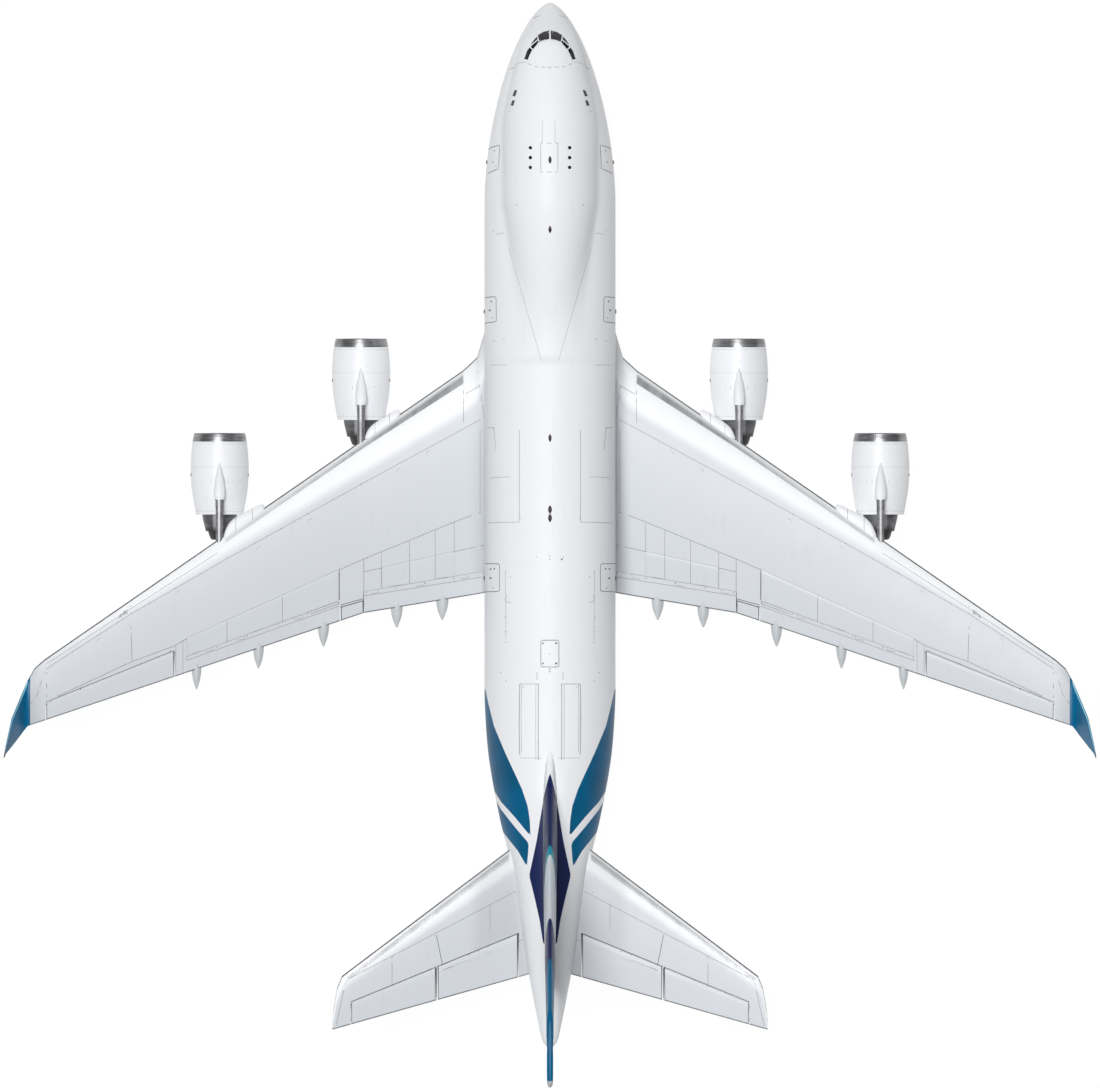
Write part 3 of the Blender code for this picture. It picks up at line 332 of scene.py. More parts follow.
class Finish:
    """One material, with its Principled surface, built from named steps."""

    def __init__(self, name):
        self.material = bpy.data.materials.new(name)
        self.material.use_nodes = True
        self.tree = self.material.node_tree
        self.surface = self.tree.nodes["Principled BSDF"]
        self.coords = self.node("ShaderNodeTexCoord", {}, {}, "Object")

    def node(self, kind, settings, inputs, output=0):
        node = self.tree.nodes.new(kind)
        for key, value in settings.items():
            setattr(node, key, value)
        for key, value in inputs.items():
            self.feed(node.inputs[key], value)
        return Value(self, node.outputs[output])

    def feed(self, socket, value):
        if isinstance(value, Value):
            self.tree.links.new(value.socket, socket)
        elif isinstance(value, tuple) and len(value) == 3 and socket.type == 'RGBA':
            socket.default_value = (*value, 1.0)
        else:
            socket.default_value = value

    def axis(self, letter):
        return self.node("ShaderNodeSeparateXYZ", {}, {0: self.coords}, letter)

    def read(self, name):
        return self.node("ShaderNodeAttribute", {"attribute_name": name}, {}, "Fac")

    def noise(self, scale, stretch=(1.0, 1.0, 1.0), detail=3.0, rough=0.55):
        where = self.node("ShaderNodeVectorMath", {"operation": 'MULTIPLY'}, {0: self.coords, 1: stretch})
        return self.node("ShaderNodeTexNoise", {}, {"Vector": where, "Scale": scale, "Detail": detail,
                                                   "Roughness": rough})

    def mix(self, factor, a, b):
        node = self.tree.nodes.new("ShaderNodeMix")
        node.data_type = 'RGBA'
        for index, value in ((0, factor), (6, a), (7, b)):
            self.feed(node.inputs[index], value)
        return Value(self, node.outputs[2])

    def done(self, colour, roughness, metallic=0.0, bump=None, coat=0.0, distance=0.0006, shine=0.5):
        self.feed(self.surface.inputs["Base Color"], colour)
        self.feed(self.surface.inputs["Roughness"], roughness)
        self.feed(self.surface.inputs["Metallic"], metallic)
        self.surface.inputs["Coat Weight"].default_value = coat
        self.surface.inputs["Coat Roughness"].default_value = 0.12
        self.surface.inputs["Specular IOR Level"].default_value = shine
        if bump is not None:
            normal = self.node("ShaderNodeBump", {}, {"Strength": 0.6, "Distance": distance, "Height": bump}, "Normal")
            self.feed(self.surface.inputs["Normal"], normal)
        return self.material


WHITE = (0.815, 0.83, 0.85)
# dark grey for soot streaks, and for painted shade at the wing roots and beside the winglets
SOOT_AND_SHADE = (0.30, 0.31, 0.32)
TEAL = (0.001, 0.108, 0.235)
TEAL_BRIGHT = (0.001, 0.12, 0.26)
NAVY = (0.012, 0.02, 0.085)
WING_GREY = (0.605, 0.63, 0.665)


def weathered(finish, colour, dirt=0.10):
    """Faint streaks along the airflow and broad patches of fading over a paint."""
    streaks = finish.noise(1.0, (9.0, 0.8, 9.0), 4.0)
    patches = finish.noise(0.6, (1.0, 1.0, 1.0), 2.0)
    colour = finish.mix(streaks.rise(0.55, 0.85) * dirt, colour, SOOT_AND_SHADE)
    return finish.mix(patches.rise(0.35, 0.75) * (dirt * 0.45), colour, (0.62, 0.65, 0.70))


def fuselage_paint():
    finish = Finish("white_and_teal_gloss")
    teal = finish.read("teal").rise(-0.006, 0.006)
    navy = finish.read("navy").rise(-0.006, 0.006)
    base = weathered(finish, WHITE, 0.09)
    shaded_teal = finish.mix(finish.noise(0.9).rise(0.3, 0.7), TEAL, (0.003, 0.082, 0.175))
    colour = finish.mix(teal, base, shaded_teal)
    colour = finish.mix(navy, colour, NAVY)
    rough = finish.noise(2.5) * 0.12 + 0.34
    ripple = finish.noise(1.7, (1.0, 1.0, 1.0), 2.0) + finish.noise(160.0, detail=1.0) * 0.05
    return finish.done(colour, rough, 0.0, ripple, 0.0, 0.004, 0.14)


def fuselage():
    stations = [NOSE_LENGTH * (i / 60.0) ** 1.7 for i in range(60)]
    stations += [NOSE_LENGTH + 0.1 * i for i in range(205)]
    stations += [lerp(25.4, BODY_LENGTH, (i / 16.0) ** 0.7) for i in range(1, 17)]
    sides = 144
    rings = []
    unrolled = []
    for s in stations:
        half_width = body_levels(s)[0]
        beside = abs(body_point(math.pi / 2.0, s).x)
        ring = []
        for k in range(sides):
            angle = 2.0 * math.pi * k / sides
            ring.append(body_point(angle, s))
            turn = min(angle, 2.0 * math.pi - angle)
            across = abs(ring[-1].x) if turn < math.pi / 2.0 else beside + half_width * (turn - math.pi / 2.0)
            unrolled.append((across / UNIT, s / UNIT + 1.9))
        rings.append(ring)
    skin = loft("fuselage_skin", rings)
    unrolled = np.array(unrolled)
    swoosh = np.array([(19.4, 836.4), (20.2, 820.3), (22.3, 806.2), (27.9, 789.4), (35, 774), (44.8, 752.9),
                       (56, 726.3), (61.6, 704), (64.6, 690), (76, 676), (98, 660), (137, 640), (108, 705),
                       (80, 755), (55.6, 791.5), (49, 802), (35, 817.4)], float)
    tail_bar = np.array([(21.2, 843.4), (35, 827.3), (49, 809.7), (54, 801), (80, 768), (130, 662), (86, 775),
                         (52, 826), (45.9, 833.6), (40.5, 840.6), (32.1, 851), (23.2, 866.5), (22.3, 858)], float)
    diamond = np.array([(0, 769), (3.5, 782), (7, 803), (8.7, 812), (13.2, 840), (20.8, 875.5), (14.9, 900),
                        (10.4, 920), (7, 943), (0, 950), (-5, 940), (-5, 800)], float)
    attribute(skin, "teal", np.maximum(inside_distance(unrolled, swoosh), inside_distance(unrolled, tail_bar)) * UNIT)
    attribute(skin, "navy", inside_distance(unrolled, diamond) * UNIT)
    skin.data.materials.append(fuselage_paint())
    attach(skin, "airframe")
    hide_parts("fuselage")


fuselage()


# Cockpit windows and upper-deck windows
# Six heated glass panes stand in an arc over the nose, in dark sealed frames. Small dark windows sit in
# the sides of the upper deck, flush with the skin.
def glass_dark(name, colour):
    finish = Finish(name)
    tint = finish.mix(finish.noise(3.0).rise(0.3, 0.7), colour, tuple(c * 1.8 for c in colour))
    return finish.done(tint, finish.noise(6.0) * 0.06 + 0.12, 0.0, None, 0.0, 0.0006, 0.3)


def body_inlay(points, lift, deep=0.004, rings=3, steps=6):
    """Points and faces of a thin plate that follows the fuselage inside a convex plan outline of (x, row)."""
    border = []
    for i, a in enumerate(points):
        b = points[(i + 1) % len(points)]
        border += [(lerp(a[0], b[0], k / steps), lerp(a[1], b[1], k / steps)) for k in range(steps)]
    middle = tuple(sum(p[i] for p in points) / len(points) for i in (0, 1))
    verts = []
    for ring in range(rings + 2):
        share = min(ring + 1, rings) / rings
        level = lift if ring < rings else -deep
        for x, down in border:
            x = lerp(middle[0], x, share) * UNIT
            s = row(lerp(middle[1], down, share))
            verts.append(body_point(body_angle(x, s), s, level))
        if ring == rings:
            break
    count = len(border)
    faces = []
    for i in range(rings):
        for j in range(count):
            m = (j + 1) % count
            faces.append((i * count + j, i * count + m, (i + 1) * count + m, (i + 1) * count + j))
    centre = body_point(body_angle(middle[0] * UNIT, row(middle[1])), row(middle[1]), lift)
    verts.append(centre)
    faces += [(len(verts) - 1, j, (j + 1) % count) for j in range(count)]
    faces.append(tuple(range(rings * count, (rings + 1) * count)))
    return verts, faces


def body_band(outline, lift=0.003, deep=0.003):
    """Points and faces of a closed strip plate on the crown between the two halves of an outline."""
    half = len(outline) // 2
    outer, inner = outline[:half], outline[half:][::-1]
    verts, faces = [], []
    stops = []
    for a, b, c, d in zip(outer, outer[1:], inner, inner[1:]):
        stops += [[(lerp(a[i], b[i], k / 4.0), lerp(c[i], d[i], k / 4.0)) for i in (0, 1)] for k in range(4)]
    stops.append([(outer[-1][i], inner[-1][i]) for i in (0, 1)])
    for (x0, x1), (y0, y1) in stops:
        edge = [(lerp(x0, x1, k / 4.0) * UNIT, row(lerp(y0, y1, k / 4.0))) for k in range(5)]
        verts += [body_point(body_angle(x, s), s, lift) for x, s in edge]
        verts += [body_point(body_angle(x, s), s, -deep) for x, s in reversed(edge)]
    for i in range(len(stops) - 1):
        faces += [(i * 10 + j, i * 10 + (j + 1) % 10, (i + 1) * 10 + (j + 1) % 10, (i + 1) * 10 + j)
                  for j in range(10)]
    last = (len(stops) - 1) * 10
    return verts, faces + [tuple(range(10)), tuple(range(last, last + 10))]


def gather(name, parts, smooth=40.0):
    """One object from several sets of points and faces."""
    points, faces = [], []
    for verts, polygons in parts:
        base = len(points)
        points += verts
        faces += [tuple(base + i for i in polygon) for polygon in polygons]
    return link(name, points, faces, smooth, True)


def both_sides(outline):
    return [outline, [(-x, down) for x, down in reversed(outline)]]


def full_turn(count):
    return [2.0 * math.pi * k / count for k in range(count)]


def cockpit():
    front = [(0.8, 30.3), (6.5, 31.6), (12.2, 35.0), (10.6, 41.6), (5.5, 39.7), (0.8, 39.0)]
    upper = [(13.0, 36.2), (16.4, 40.3), (19.4, 44.9), (12.5, 39.4)]
    lower = [(12.2, 40.2), (19.0, 46.1), (18.6, 47.4), (16.9, 49.0), (13.8, 45.2), (11.2, 41.7)]
    third = [(20.5, 47.3), (23.2, 51.4), (25.7, 58.9), (22.3, 59.7), (20.0, 54.0), (17.8, 49.8)]
    panes, frames = [], []
    for outline in (front, upper, lower, third):
        panes += [body_inlay(shape, 0.005, 0.004, 2, 3) for shape in both_sides(outline)]
    surround = [(0.0, 28.6), (7.0, 29.8), (13.4, 33.8), (20.6, 43.8), (24.6, 50.6), (27.2, 59.6), (21.4, 61.2),
                (18.4, 54.6), (13.0, 46.8), (9.6, 42.9), (5.0, 40.9), (0.0, 40.3)]
    frames = [body_band(shape) for shape in both_sides(surround)]
    side_slots = [[(32.7, 90.0), (35.4, 90.2), (37.6, 95.9), (35.0, 96.5)],
                  [(35.2, 100.2), (37.7, 100.4), (39.5, 105.3), (36.8, 105.9)]]
    for outline in side_slots:
        panes += [body_inlay(shape, 0.005, 0.004, 2, 3) for shape in both_sides(outline)]
    for down in (147.9, 157.8, 167.6):
        turns = full_turn(12)
        small = [(19.6 + 1.7 * math.cos(t), down + 1.8 * math.sin(t)) for t in turns]
        panes += [body_inlay(shape, 0.005, 0.004, 1, 1) for shape in both_sides(small)]
    glass = gather("cockpit_glass", panes, 30.0)
    glass.data.materials.append(glass_dark("smoked_glass", (0.010, 0.011, 0.013)))
    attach(glass, "airframe")
    enamel = Finish("window_frame_white")
    border = gather("window_frames", frames, 30.0)
    border.data.materials.append(enamel.done(enamel.mix(enamel.noise(9.0), (0.70, 0.71, 0.72), (0.86, 0.87, 0.88)),
                                             enamel.noise(40.0) * 0.15 + 0.35, 0.0, enamel.noise(220.0)))
    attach(border, "airframe")


cockpit()


# Fuselage seams
# Skin joints, doors, hatches and access panels are closed with grey sealant, which shows as thin lines
# just proud of the paint. A grey line down each side of the upper deck's faired end is painted shade for the crease
# there.
def ribbon(points, normals, width, proud=0.0012, sunk=0.003):
    """Points and faces of a thin strip along a path on a skin."""
    verts, faces = [], []
    last = len(points) - 1
    for i, (point, normal) in enumerate(zip(points, normals)):
        ahead = points[min(i + 1, last)] - points[max(i - 1, 0)]
        side = ahead.cross(normal).normalized() * (width / 2.0)
        up = normal.normalized()
        verts += [point - side - up * sunk, point + side - up * sunk, point + side + up * proud,
                  point - side + up * proud]
        if i:
            a, b = 4 * (i - 1), 4 * i
            faces += [(a + j, a + (j + 1) % 4, b + (j + 1) % 4, b + j) for j in range(4)]
    faces += [(0, 1, 2, 3), (4 * last, 4 * last + 1, 4 * last + 2, 4 * last + 3)]
    return verts, faces


def body_path(stops, step=0.12):
    """Points along the fuselage through (angle, station) stops, and the skin's outward direction at each."""
    points, normals = [], []
    for (a0, s0), (a1, s1) in zip(stops, stops[1:]):
        length = math.hypot((a1 - a0) * 1.5, s1 - s0)
        count = max(int(length / step), 1)
        for k in range(count + (1 if (a1, s1) == stops[-1] else 0)):
            angle, s = lerp(a0, a1, k / count), lerp(s0, s1, k / count)
            here = body_point(angle, s)
            around = body_point(angle + 0.01, s) - here
            along = body_point(angle, s + 0.01) - here
            points.append(here)
            normals.append(along.cross(around).normalized())
    return points, normals


def plan_path(stops):
    """The same through plan points (x, row) on the upper half of the fuselage."""
    return body_path([(body_angle(x * UNIT, row(down)), row(down)) for x, down in stops])


def rounded(x0, y0, x1, y1, corner):
    """A rounded rectangle in plan, closed."""
    loop = []
    for cx, cy, start in ((x1 - corner, y0 + corner, -90), (x1 - corner, y1 - corner, 0),
                          (x0 + corner, y1 - corner, 90), (x0 + corner, y0 + corner, 180)):
        for k in range(5):
            t = math.radians(start + 22.5 * k)
            loop.append((cx + corner * math.cos(t), cy + corner * math.sin(t)))
    return loop + [loop[0]]


def sealant(name, shade):
    finish = Finish(name)
    return finish.done(finish.mix(finish.noise(30.0), tuple(c * 0.8 for c in shade), tuple(c * 1.15 for c in shade)),
                       finish.noise(12.0) * 0.2 + 0.5, 0.0, finish.noise(300.0), 0.0, 0.0003)


class Maker:
    """A Geometry Nodes tree with named inputs, which is run on an object and leaves plain faces."""

    def __init__(self, name, inputs):
        self.tree = bpy.data.node_groups.new(name, 'GeometryNodeTree')
        sockets = self.tree.interface
        sockets.new_socket("Geometry", in_out='INPUT', socket_type='NodeSocketGeometry')
        self.keys = {label: sockets.new_socket(label, in_out='INPUT', socket_type="NodeSocket" + kind).identifier
                     for label, kind in inputs.items()}
        sockets.new_socket("Geometry", in_out='OUTPUT', socket_type='NodeSocketGeometry')
        self.given = self.tree.nodes.new("NodeGroupInput").outputs
        self.result = self.tree.nodes.new("NodeGroupOutput")

    def add(self, kind, settings, inputs):
        """Adds one node and gives back its first output."""
        node = self.tree.nodes.new(kind)
        for key, value in settings.items():
            setattr(node, key, value)
        for key, value in inputs.items():
            if isinstance(value, bpy.types.NodeSocket):
                self.tree.links.new(value, node.inputs[key])
            else:
                node.inputs[key].default_value = value
        return node.outputs[0]

    def close(self, instances):
        real = self.add("GeometryNodeRealizeInstances", {}, {"Geometry": instances})
        dressed = self.add("GeometryNodeSetMaterial", {}, {"Geometry": real, "Material": self.given["Material"]})
        self.tree.links.new(dressed, self.result.inputs[0])

    def make(self, obj, values):
        modifier = obj.modifiers.new("made", 'NODES')
        modifier.node_group = self.tree
        for label, value in values.items():
            modifier[self.keys[label]] = value
        bpy.context.view_layer.update()
        mesh = bpy.data.meshes.new_from_object(obj.evaluated_get(bpy.context.evaluated_depsgraph_get()))
        obj.modifiers.clear()
        obj.data = mesh
        return obj


def fastener_rows():
    """Low round heads set at an even pitch along paths, each turned to the path's outward direction."""
    maker = Maker("fastener_rows", {"Pitch": 'Float', "Radius": 'Float', "Height": 'Float', "Material": 'Material'})
    rows = maker.add("GeometryNodeMeshToCurve", {}, {"Mesh": maker.given["Geometry"]})
    rows = maker.add("GeometryNodeResampleCurve", {"mode": 'LENGTH'}, {"Curve": rows, "Length": maker.given["Pitch"]})
    outward = maker.add("GeometryNodeInputNamedAttribute", {"data_type": 'FLOAT_VECTOR'}, {"Name": "outward"})
    turn = maker.add("FunctionNodeAlignRotationToVector", {"axis": 'Z'}, {"Vector": outward})
    crown = maker.add("ShaderNodeMath", {"operation": 'MULTIPLY'}, {0: maker.given["Radius"], 1: 0.6})
    head = maker.add("GeometryNodeMeshCone", {}, {
        "Vertices": 8, "Radius Top": crown, "Radius Bottom": maker.given["Radius"], "Depth": maker.given["Height"]})
    sunk = maker.add("GeometryNodeTransform", {}, {"Geometry": head, "Translation": (0.0, 0.0, -0.001)})
    maker.close(maker.add("GeometryNodeInstanceOnPoints", {}, {"Points": rows, "Instance": sunk, "Rotation": turn}))
    return maker


FASTENERS = fastener_rows()
finish = Finish("fastener_steel")
FASTENER_STEEL = finish.done(finish.mix(finish.noise(25.0), (0.13, 0.135, 0.14), (0.30, 0.31, 0.32)),
                             finish.noise(40.0) * 0.2 + 0.4, 0.3, finish.noise(300.0))


def fasteners(name, paths, pitch, radius, height=0.0022):
    """One mesh of fastener heads along several paths of points and outward directions."""
    points = [p for path, _ in paths for p in path]
    outward = [tuple(n.normalized()) for _, normals in paths for n in normals]
    edges = []
    base = 0
    for path, _ in paths:
        edges += [(base + i, base + i + 1) for i in range(len(path) - 1)]
        base += len(path)
    mesh = bpy.data.meshes.new(name)
    mesh.from_pydata([tuple(p) for p in points], edges, [])
    layer = mesh.attributes.new("outward", 'FLOAT_VECTOR', 'POINT')
    layer.data.foreach_set("vector", np.array(outward, dtype=np.float32).ravel())
    obj = bpy.data.objects.new(name, mesh)
    bpy.context.scene.collection.objects.link(obj)
    return FASTENERS.make(obj, {"Pitch": pitch, "Radius": radius, "Height": height, "Material": FASTENER_STEEL})


# grey sealant for the joints, also used for a painted shade line along the upper deck's crease
SEAM_GREY = sealant("grey_sealant_and_crease_shade", (0.23, 0.235, 0.25))
# dark sealant for doors and joints, also used for painted shade along the control surfaces' gaps
DARK_SEAL_AND_GAP_SHADE = sealant("dark_sealant_and_gap_shade", (0.085, 0.09, 0.1))


def keep(piece, body, slot, node=None):
    """Rides a piece on its body, and hides the solid that it stands for. Its slot is not used."""
    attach(piece, body)
    if node:
        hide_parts(node)


def fuselage_seams():
    fine, bold, riveted = [], [], []
    for down in (92, 131, 193, 262, 331, 402, 474, 535, 612, 683, 745, 801, 862, 921, 985):
        s = row(down)
        half = 2.02 if down < 300 else 1.85
        for a0, a1 in ((-math.pi, -half), (half, math.pi)):
            path = body_path([(a0, s), (a1, s)])
            fine.append(ribbon(*path, 0.010))
            riveted.append(body_path([(a0, s + 0.035), (a1, s + 0.035)]))
    for sign in (1, -1):
        mirrored_lines = [([(9, 15.2), (17, 17.5)], 0.012), ([(25.6, 61.8), (13.8, 66.9), (0, 67.4)], 0.012),
                          ([(26.4, 61.8), (33, 64), (40, 68.8)], 0.010),
                          ([(11.5, 684), (11.5, 760)], 0.016), ([(14, 684), (14, 760)], 0.008),
                          ([(30.2, 684), (30.2, 755)], 0.016), ([(28.4, 684), (28.4, 752)], 0.008),
                          ([(30, 684), (11, 684)], 0.012), ([(30, 758), (8, 758)], 0.008),
                          ([(62, 523), (30.5, 522), (30.5, 430)], 0.010), ([(60, 478), (46, 477), (40, 477)], 0.008),
                          ([(62, 427.6), (56, 427.6), (54, 450)], 0.010),
                          ([(45, 598), (43.5, 602), (39, 602.5)], 0.010),
                          ([(44.5, 572), (44, 640)], 0.006), ([(60, 365), (44, 365)], 0.008),
                          ([(46, 233), (54, 234)], 0.008), ([(13, 672), (13, 680)], 0.012),
                          # this line down each side of the upper deck's faired end is painted shade for the crease
                          # there
                          ([(41, 247), (30, 286), (18, 328), (8.5, 361)], 0.006)]
        for stops, width in mirrored_lines:
            fine.append(ribbon(*plan_path([(sign * x, down) for x, down in stops]), width))
        bold_lines = [[(61.4, 148.9), (50.2, 145.0), (51.3, 168.6), (62.2, 173.3)],
                      [(65.0, 297.6), (55.2, 296.6), (53.9, 298.4), (53.7, 320.4), (55.0, 321.8), (65.0, 323.0)],
                      [(65.6, 563.8), (51.8, 563.8), (50.4, 565.2), (50.4, 590.0), (51.8, 591.4), (65.6, 592.2)]]
        for stops in bold_lines:
            bold.append(ribbon(*plan_path([(sign * x, down) for x, down in stops]), 0.016))
        for s0, s1 in ((3.66, 4.37), (7.37, 8.01), (14.04, 14.76)):
            stops = [(1.60, s0), (1.86, s0), (1.86, s1), (1.60, s1)]
            bold.append(ribbon(*body_path([(sign * a, s) for a, s in stops]), 0.016))
            riveted.append(body_path([(sign * 1.895, s0 - 0.03), (sign * 1.895, s1 + 0.03)]))
        for s0, s1 in ((5.6, 7.0), (16.1, 17.5)):
            stops = [(1.98, s0), (2.5, s0), (2.5, s1), (1.98, s1), (1.98, s0)]
            bold.append(ribbon(*body_path([(sign * a, s) for a, s in stops]), 0.014))
        riveted += [plan_path([(sign * x, top), (sign * x, low)]) for x, top, low in (
            (32.4, 430, 520), (12.8, 686, 756), (60, 149.5, 171.5), (52.4, 565, 590))]
    bold.append(ribbon(*plan_path([(-7.8, 143.4), (9.2, 143.4), (9.2, 172.2), (-7.8, 172.2), (-7.8, 143.4)]), 0.009))
    fine.append(ribbon(*plan_path([(-5.0, 143.0), (-5.0, 121.7), (7.7, 121.7), (7.7, 143.0)]), 0.008))
    bold.append(ribbon(*plan_path(rounded(-8.9, 640.2, 9.1, 667.0, 2.2)), 0.015))
    riveted.append(plan_path(rounded(-7.4, 641.7, 7.6, 665.5, 2.0)))
    for name, parts, material in (("fuselage_joints_and_crease_shade", fine, SEAM_GREY), ("fuselage_door_seals", bold, DARK_SEAL_AND_GAP_SHADE)):
        seams = gather(name, parts)
        seams.data.materials.append(material)
        keep(seams, "airframe", "white_paint")
    keep(fasteners("fuselage_fasteners", riveted, 0.10, 0.0055), "airframe", "white_paint")


fuselage_seams()


def body_disc(x, down, size):
    """A small flush disc on the upper fuselage, as a latch, drain or light."""
    turns = full_turn(10)
    return body_inlay([(x + size * math.cos(t), down + size * math.sin(t)) for t in turns], 0.004, 0.004, 1, 1)


# Antennas, lamps and small fittings on the crown
# Dark moulded blades and low blisters are bolted along the centre line, with small latches and vents.
def skin_of_rings(rings, capped=True):
    """Points and faces of a skin through rings of equally many points, capped unless told otherwise."""
    count = len(rings[0])
    verts = [p for ring in rings for p in ring]
    faces = [(i * count + j, i * count + (j + 1) % count, (i + 1) * count + (j + 1) % count, (i + 1) * count + j)
             for i in range(len(rings) - 1) for j in range(count)]
    caps = [tuple(range(count)), tuple(range(len(verts) - count, len(verts)))] if capped else []
    return verts, faces + caps


def pipe_between(start, end, radius, count=12):
    """Points and faces of a short rod with rounded ends."""
    axis = end - start
    rings = [circle(start - axis * 0.18, axis, radius * 0.5, count), circle(start, axis, radius, count),
             circle(end, axis, radius, count), circle(end + axis * 0.18, axis, radius * 0.5, count)]
    return skin_of_rings(rings)


def crown_fittings():
    dark, plain = [], []

    def blade(down, length, width, height):
        rings = []
        for k in range(9):
            t = k / 8.0
            size = math.sin(math.pi * min(max(t, 0.03), 0.97)) ** 0.8
            s = row(down) + (t - 0.5) * length
            base = body_point(0.0, s)
            ring = []
            for j in range(12):
                turn = 2.0 * math.pi * j / 12
                ring.append(base + Vector((width / 2.0 * size * math.cos(turn), 0.0,
                                           height * size * max(math.sin(turn), -0.3))))
            rings.append(ring)
        faces = []
        verts = [p for ring in rings for p in ring]
        for i in range(8):
            faces += [(i * 12 + j, i * 12 + (j + 1) % 12, (i + 1) * 12 + (j + 1) % 12, (i + 1) * 12 + j)
                      for j in range(12)]
        faces += [tuple(range(12)), tuple(range(96, 108))]
        return verts, faces

    for down, length, width in ((160.0, 0.20, 0.085), (229.6, 0.19, 0.08), (438.0, 0.20, 0.085)):
        dark.append(blade(down, length, width, 0.05))
    dark.append(blade(509.6, 0.21, 0.10, 0.05))
    dark.append(blade(518.0, 0.21, 0.10, 0.05))
    plain.append(blade(513.8, 0.10, 0.07, 0.03))
    for sign in (1, -1):
        for x, down in ((44.4, 571.5), (43.6, 596.5), (44.6, 617), (44.2, 631.8), (44, 642.5), (49.2, 672.5), (44, 681),
                        (39.5, 577), (29.9, 518), (13.5, 557), (56.4, 428.6), (27, 687), (33.3, 205), (40.5, 111),
                        (56.5, 230.5), (46, 339), (56, 341), (35.5, 901), (36.5, 880)):
            dark.append(body_disc(sign * x, down, 0.42))
        for x, down, size in ((58.7, 301.2, 0.75), (60.2, 310.2, 0.95), (57.6, 317.8, 0.5), (57.0, 161.8, 0.6),
                              (55.5, 150.5, 0.6), (53.8, 166, 0.4), (59.4, 569.1, 0.75), (55.6, 568.8, 0.75),
                              (59.3, 578.2, 0.95), (57, 588, 0.5)):
            dark.append(body_disc(sign * x, down, size))
        for s, a in ((row(161.8), 1.50), (row(311.3), 1.50), (row(578.3), 1.50)):
            dark.append(pipe_between(body_point(sign * a, s - 0.035), body_point(sign * a, s + 0.035), 0.026))
    for x, down, size in ((-6.1, 643.2, 1.05), (7.0, 643.2, 1.05), (-6.1, 663.4, 1.05), (7.0, 663.4, 1.05),
                          (0.4, 654, 0.5), (0.4, 669.0, 0.75), (0.4, 671.6, 0.75), (0.4, 556, 0.5), (0.4, 559, 0.5),
                          (-11.8, 559.3, 0.9)):
        dark.append(body_disc(x, down, size))
    finish = Finish("antenna_black")
    tone = finish.mix(finish.noise(5.0), (0.02, 0.012, 0.014), (0.06, 0.03, 0.03))
    black = finish.done(tone, finish.noise(30.0) * 0.15 + 0.3, 0.0, finish.noise(200.0), 0.2)
    finish = Finish("antenna_grey")
    tone = finish.mix(finish.noise(5.0), (0.35, 0.36, 0.38), (0.45, 0.46, 0.48))
    grey = finish.done(tone, finish.noise(30.0) * 0.15 + 0.3, 0.0, finish.noise(200.0))
    for name, parts, material in (("crown_antennas", dark, black), ("crown_antenna_cap", plain, grey)):
        piece = gather(name, parts, 50.0)
        piece.data.materials.append(material)
        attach(piece, "airframe")


crown_fittings()


# Wing
# Two tapered boxes of machined skins, swept back and rising to the tips, with a polished leading edge
# inboard of the outer engine. The skins are cut away for the flaps, ailerons and spoilers.
RUN_GAP = 0.006
WING_ROOT_Z = 1.60
WING_RISE = 0.118
WING_BEND = 0.001
WING_PLAN = [(0.45, 8.00, 14.60, 0.115, 2.2), (1.625, 8.20, 14.775, 0.115, 2.2),
             (1.825, 8.875, 14.81, 0.122, 2.2), (2.175, 9.20, 14.87, 0.122, 2.1),
             (4.66, 10.918, 15.28, 0.098, 1.2), (9.145, 14.018, 16.79, 0.085, 0.2),
             (12.65, 16.441, 17.97, 0.085, -0.6), (12.90, 16.66, 18.052, 0.083, -0.6),
             (13.07, 16.965, 18.11, 0.08, -0.6)]
AILERON_INNER = (4.669, 5.25, 14.977, 15.137)
AILERON_OUTER = (9.40, 12.62, 16.27, 17.567)
SPOILER_INNER = (2.40, 4.21, 13.744, 14.145, 14.353, 14.657)
SPOILER_OUTER = (5.30, 9.10, 14.206, 15.926, 14.983, 16.360)
SPOILER_THICK = 0.016
FLAP_INNER = (1.70, 4.645, 14.235, 14.730)
FLAP_OUTER = (5.2703, 9.13, 14.973, 16.370)
AILERON_TRAVEL = 25.0


def wing_level(u):
    out = max(u - 1.625, 0.0)
    return WING_ROOT_Z + WING_RISE * (u - 1.625) + WING_BEND * out * out


def half_thickness(ratio, c):
    return 5.0 * ratio * (0.2969 * math.sqrt(c) - 0.126 * c - 0.3516 * c ** 2 + 0.2843 * c ** 3 - 0.1015 * c ** 4)


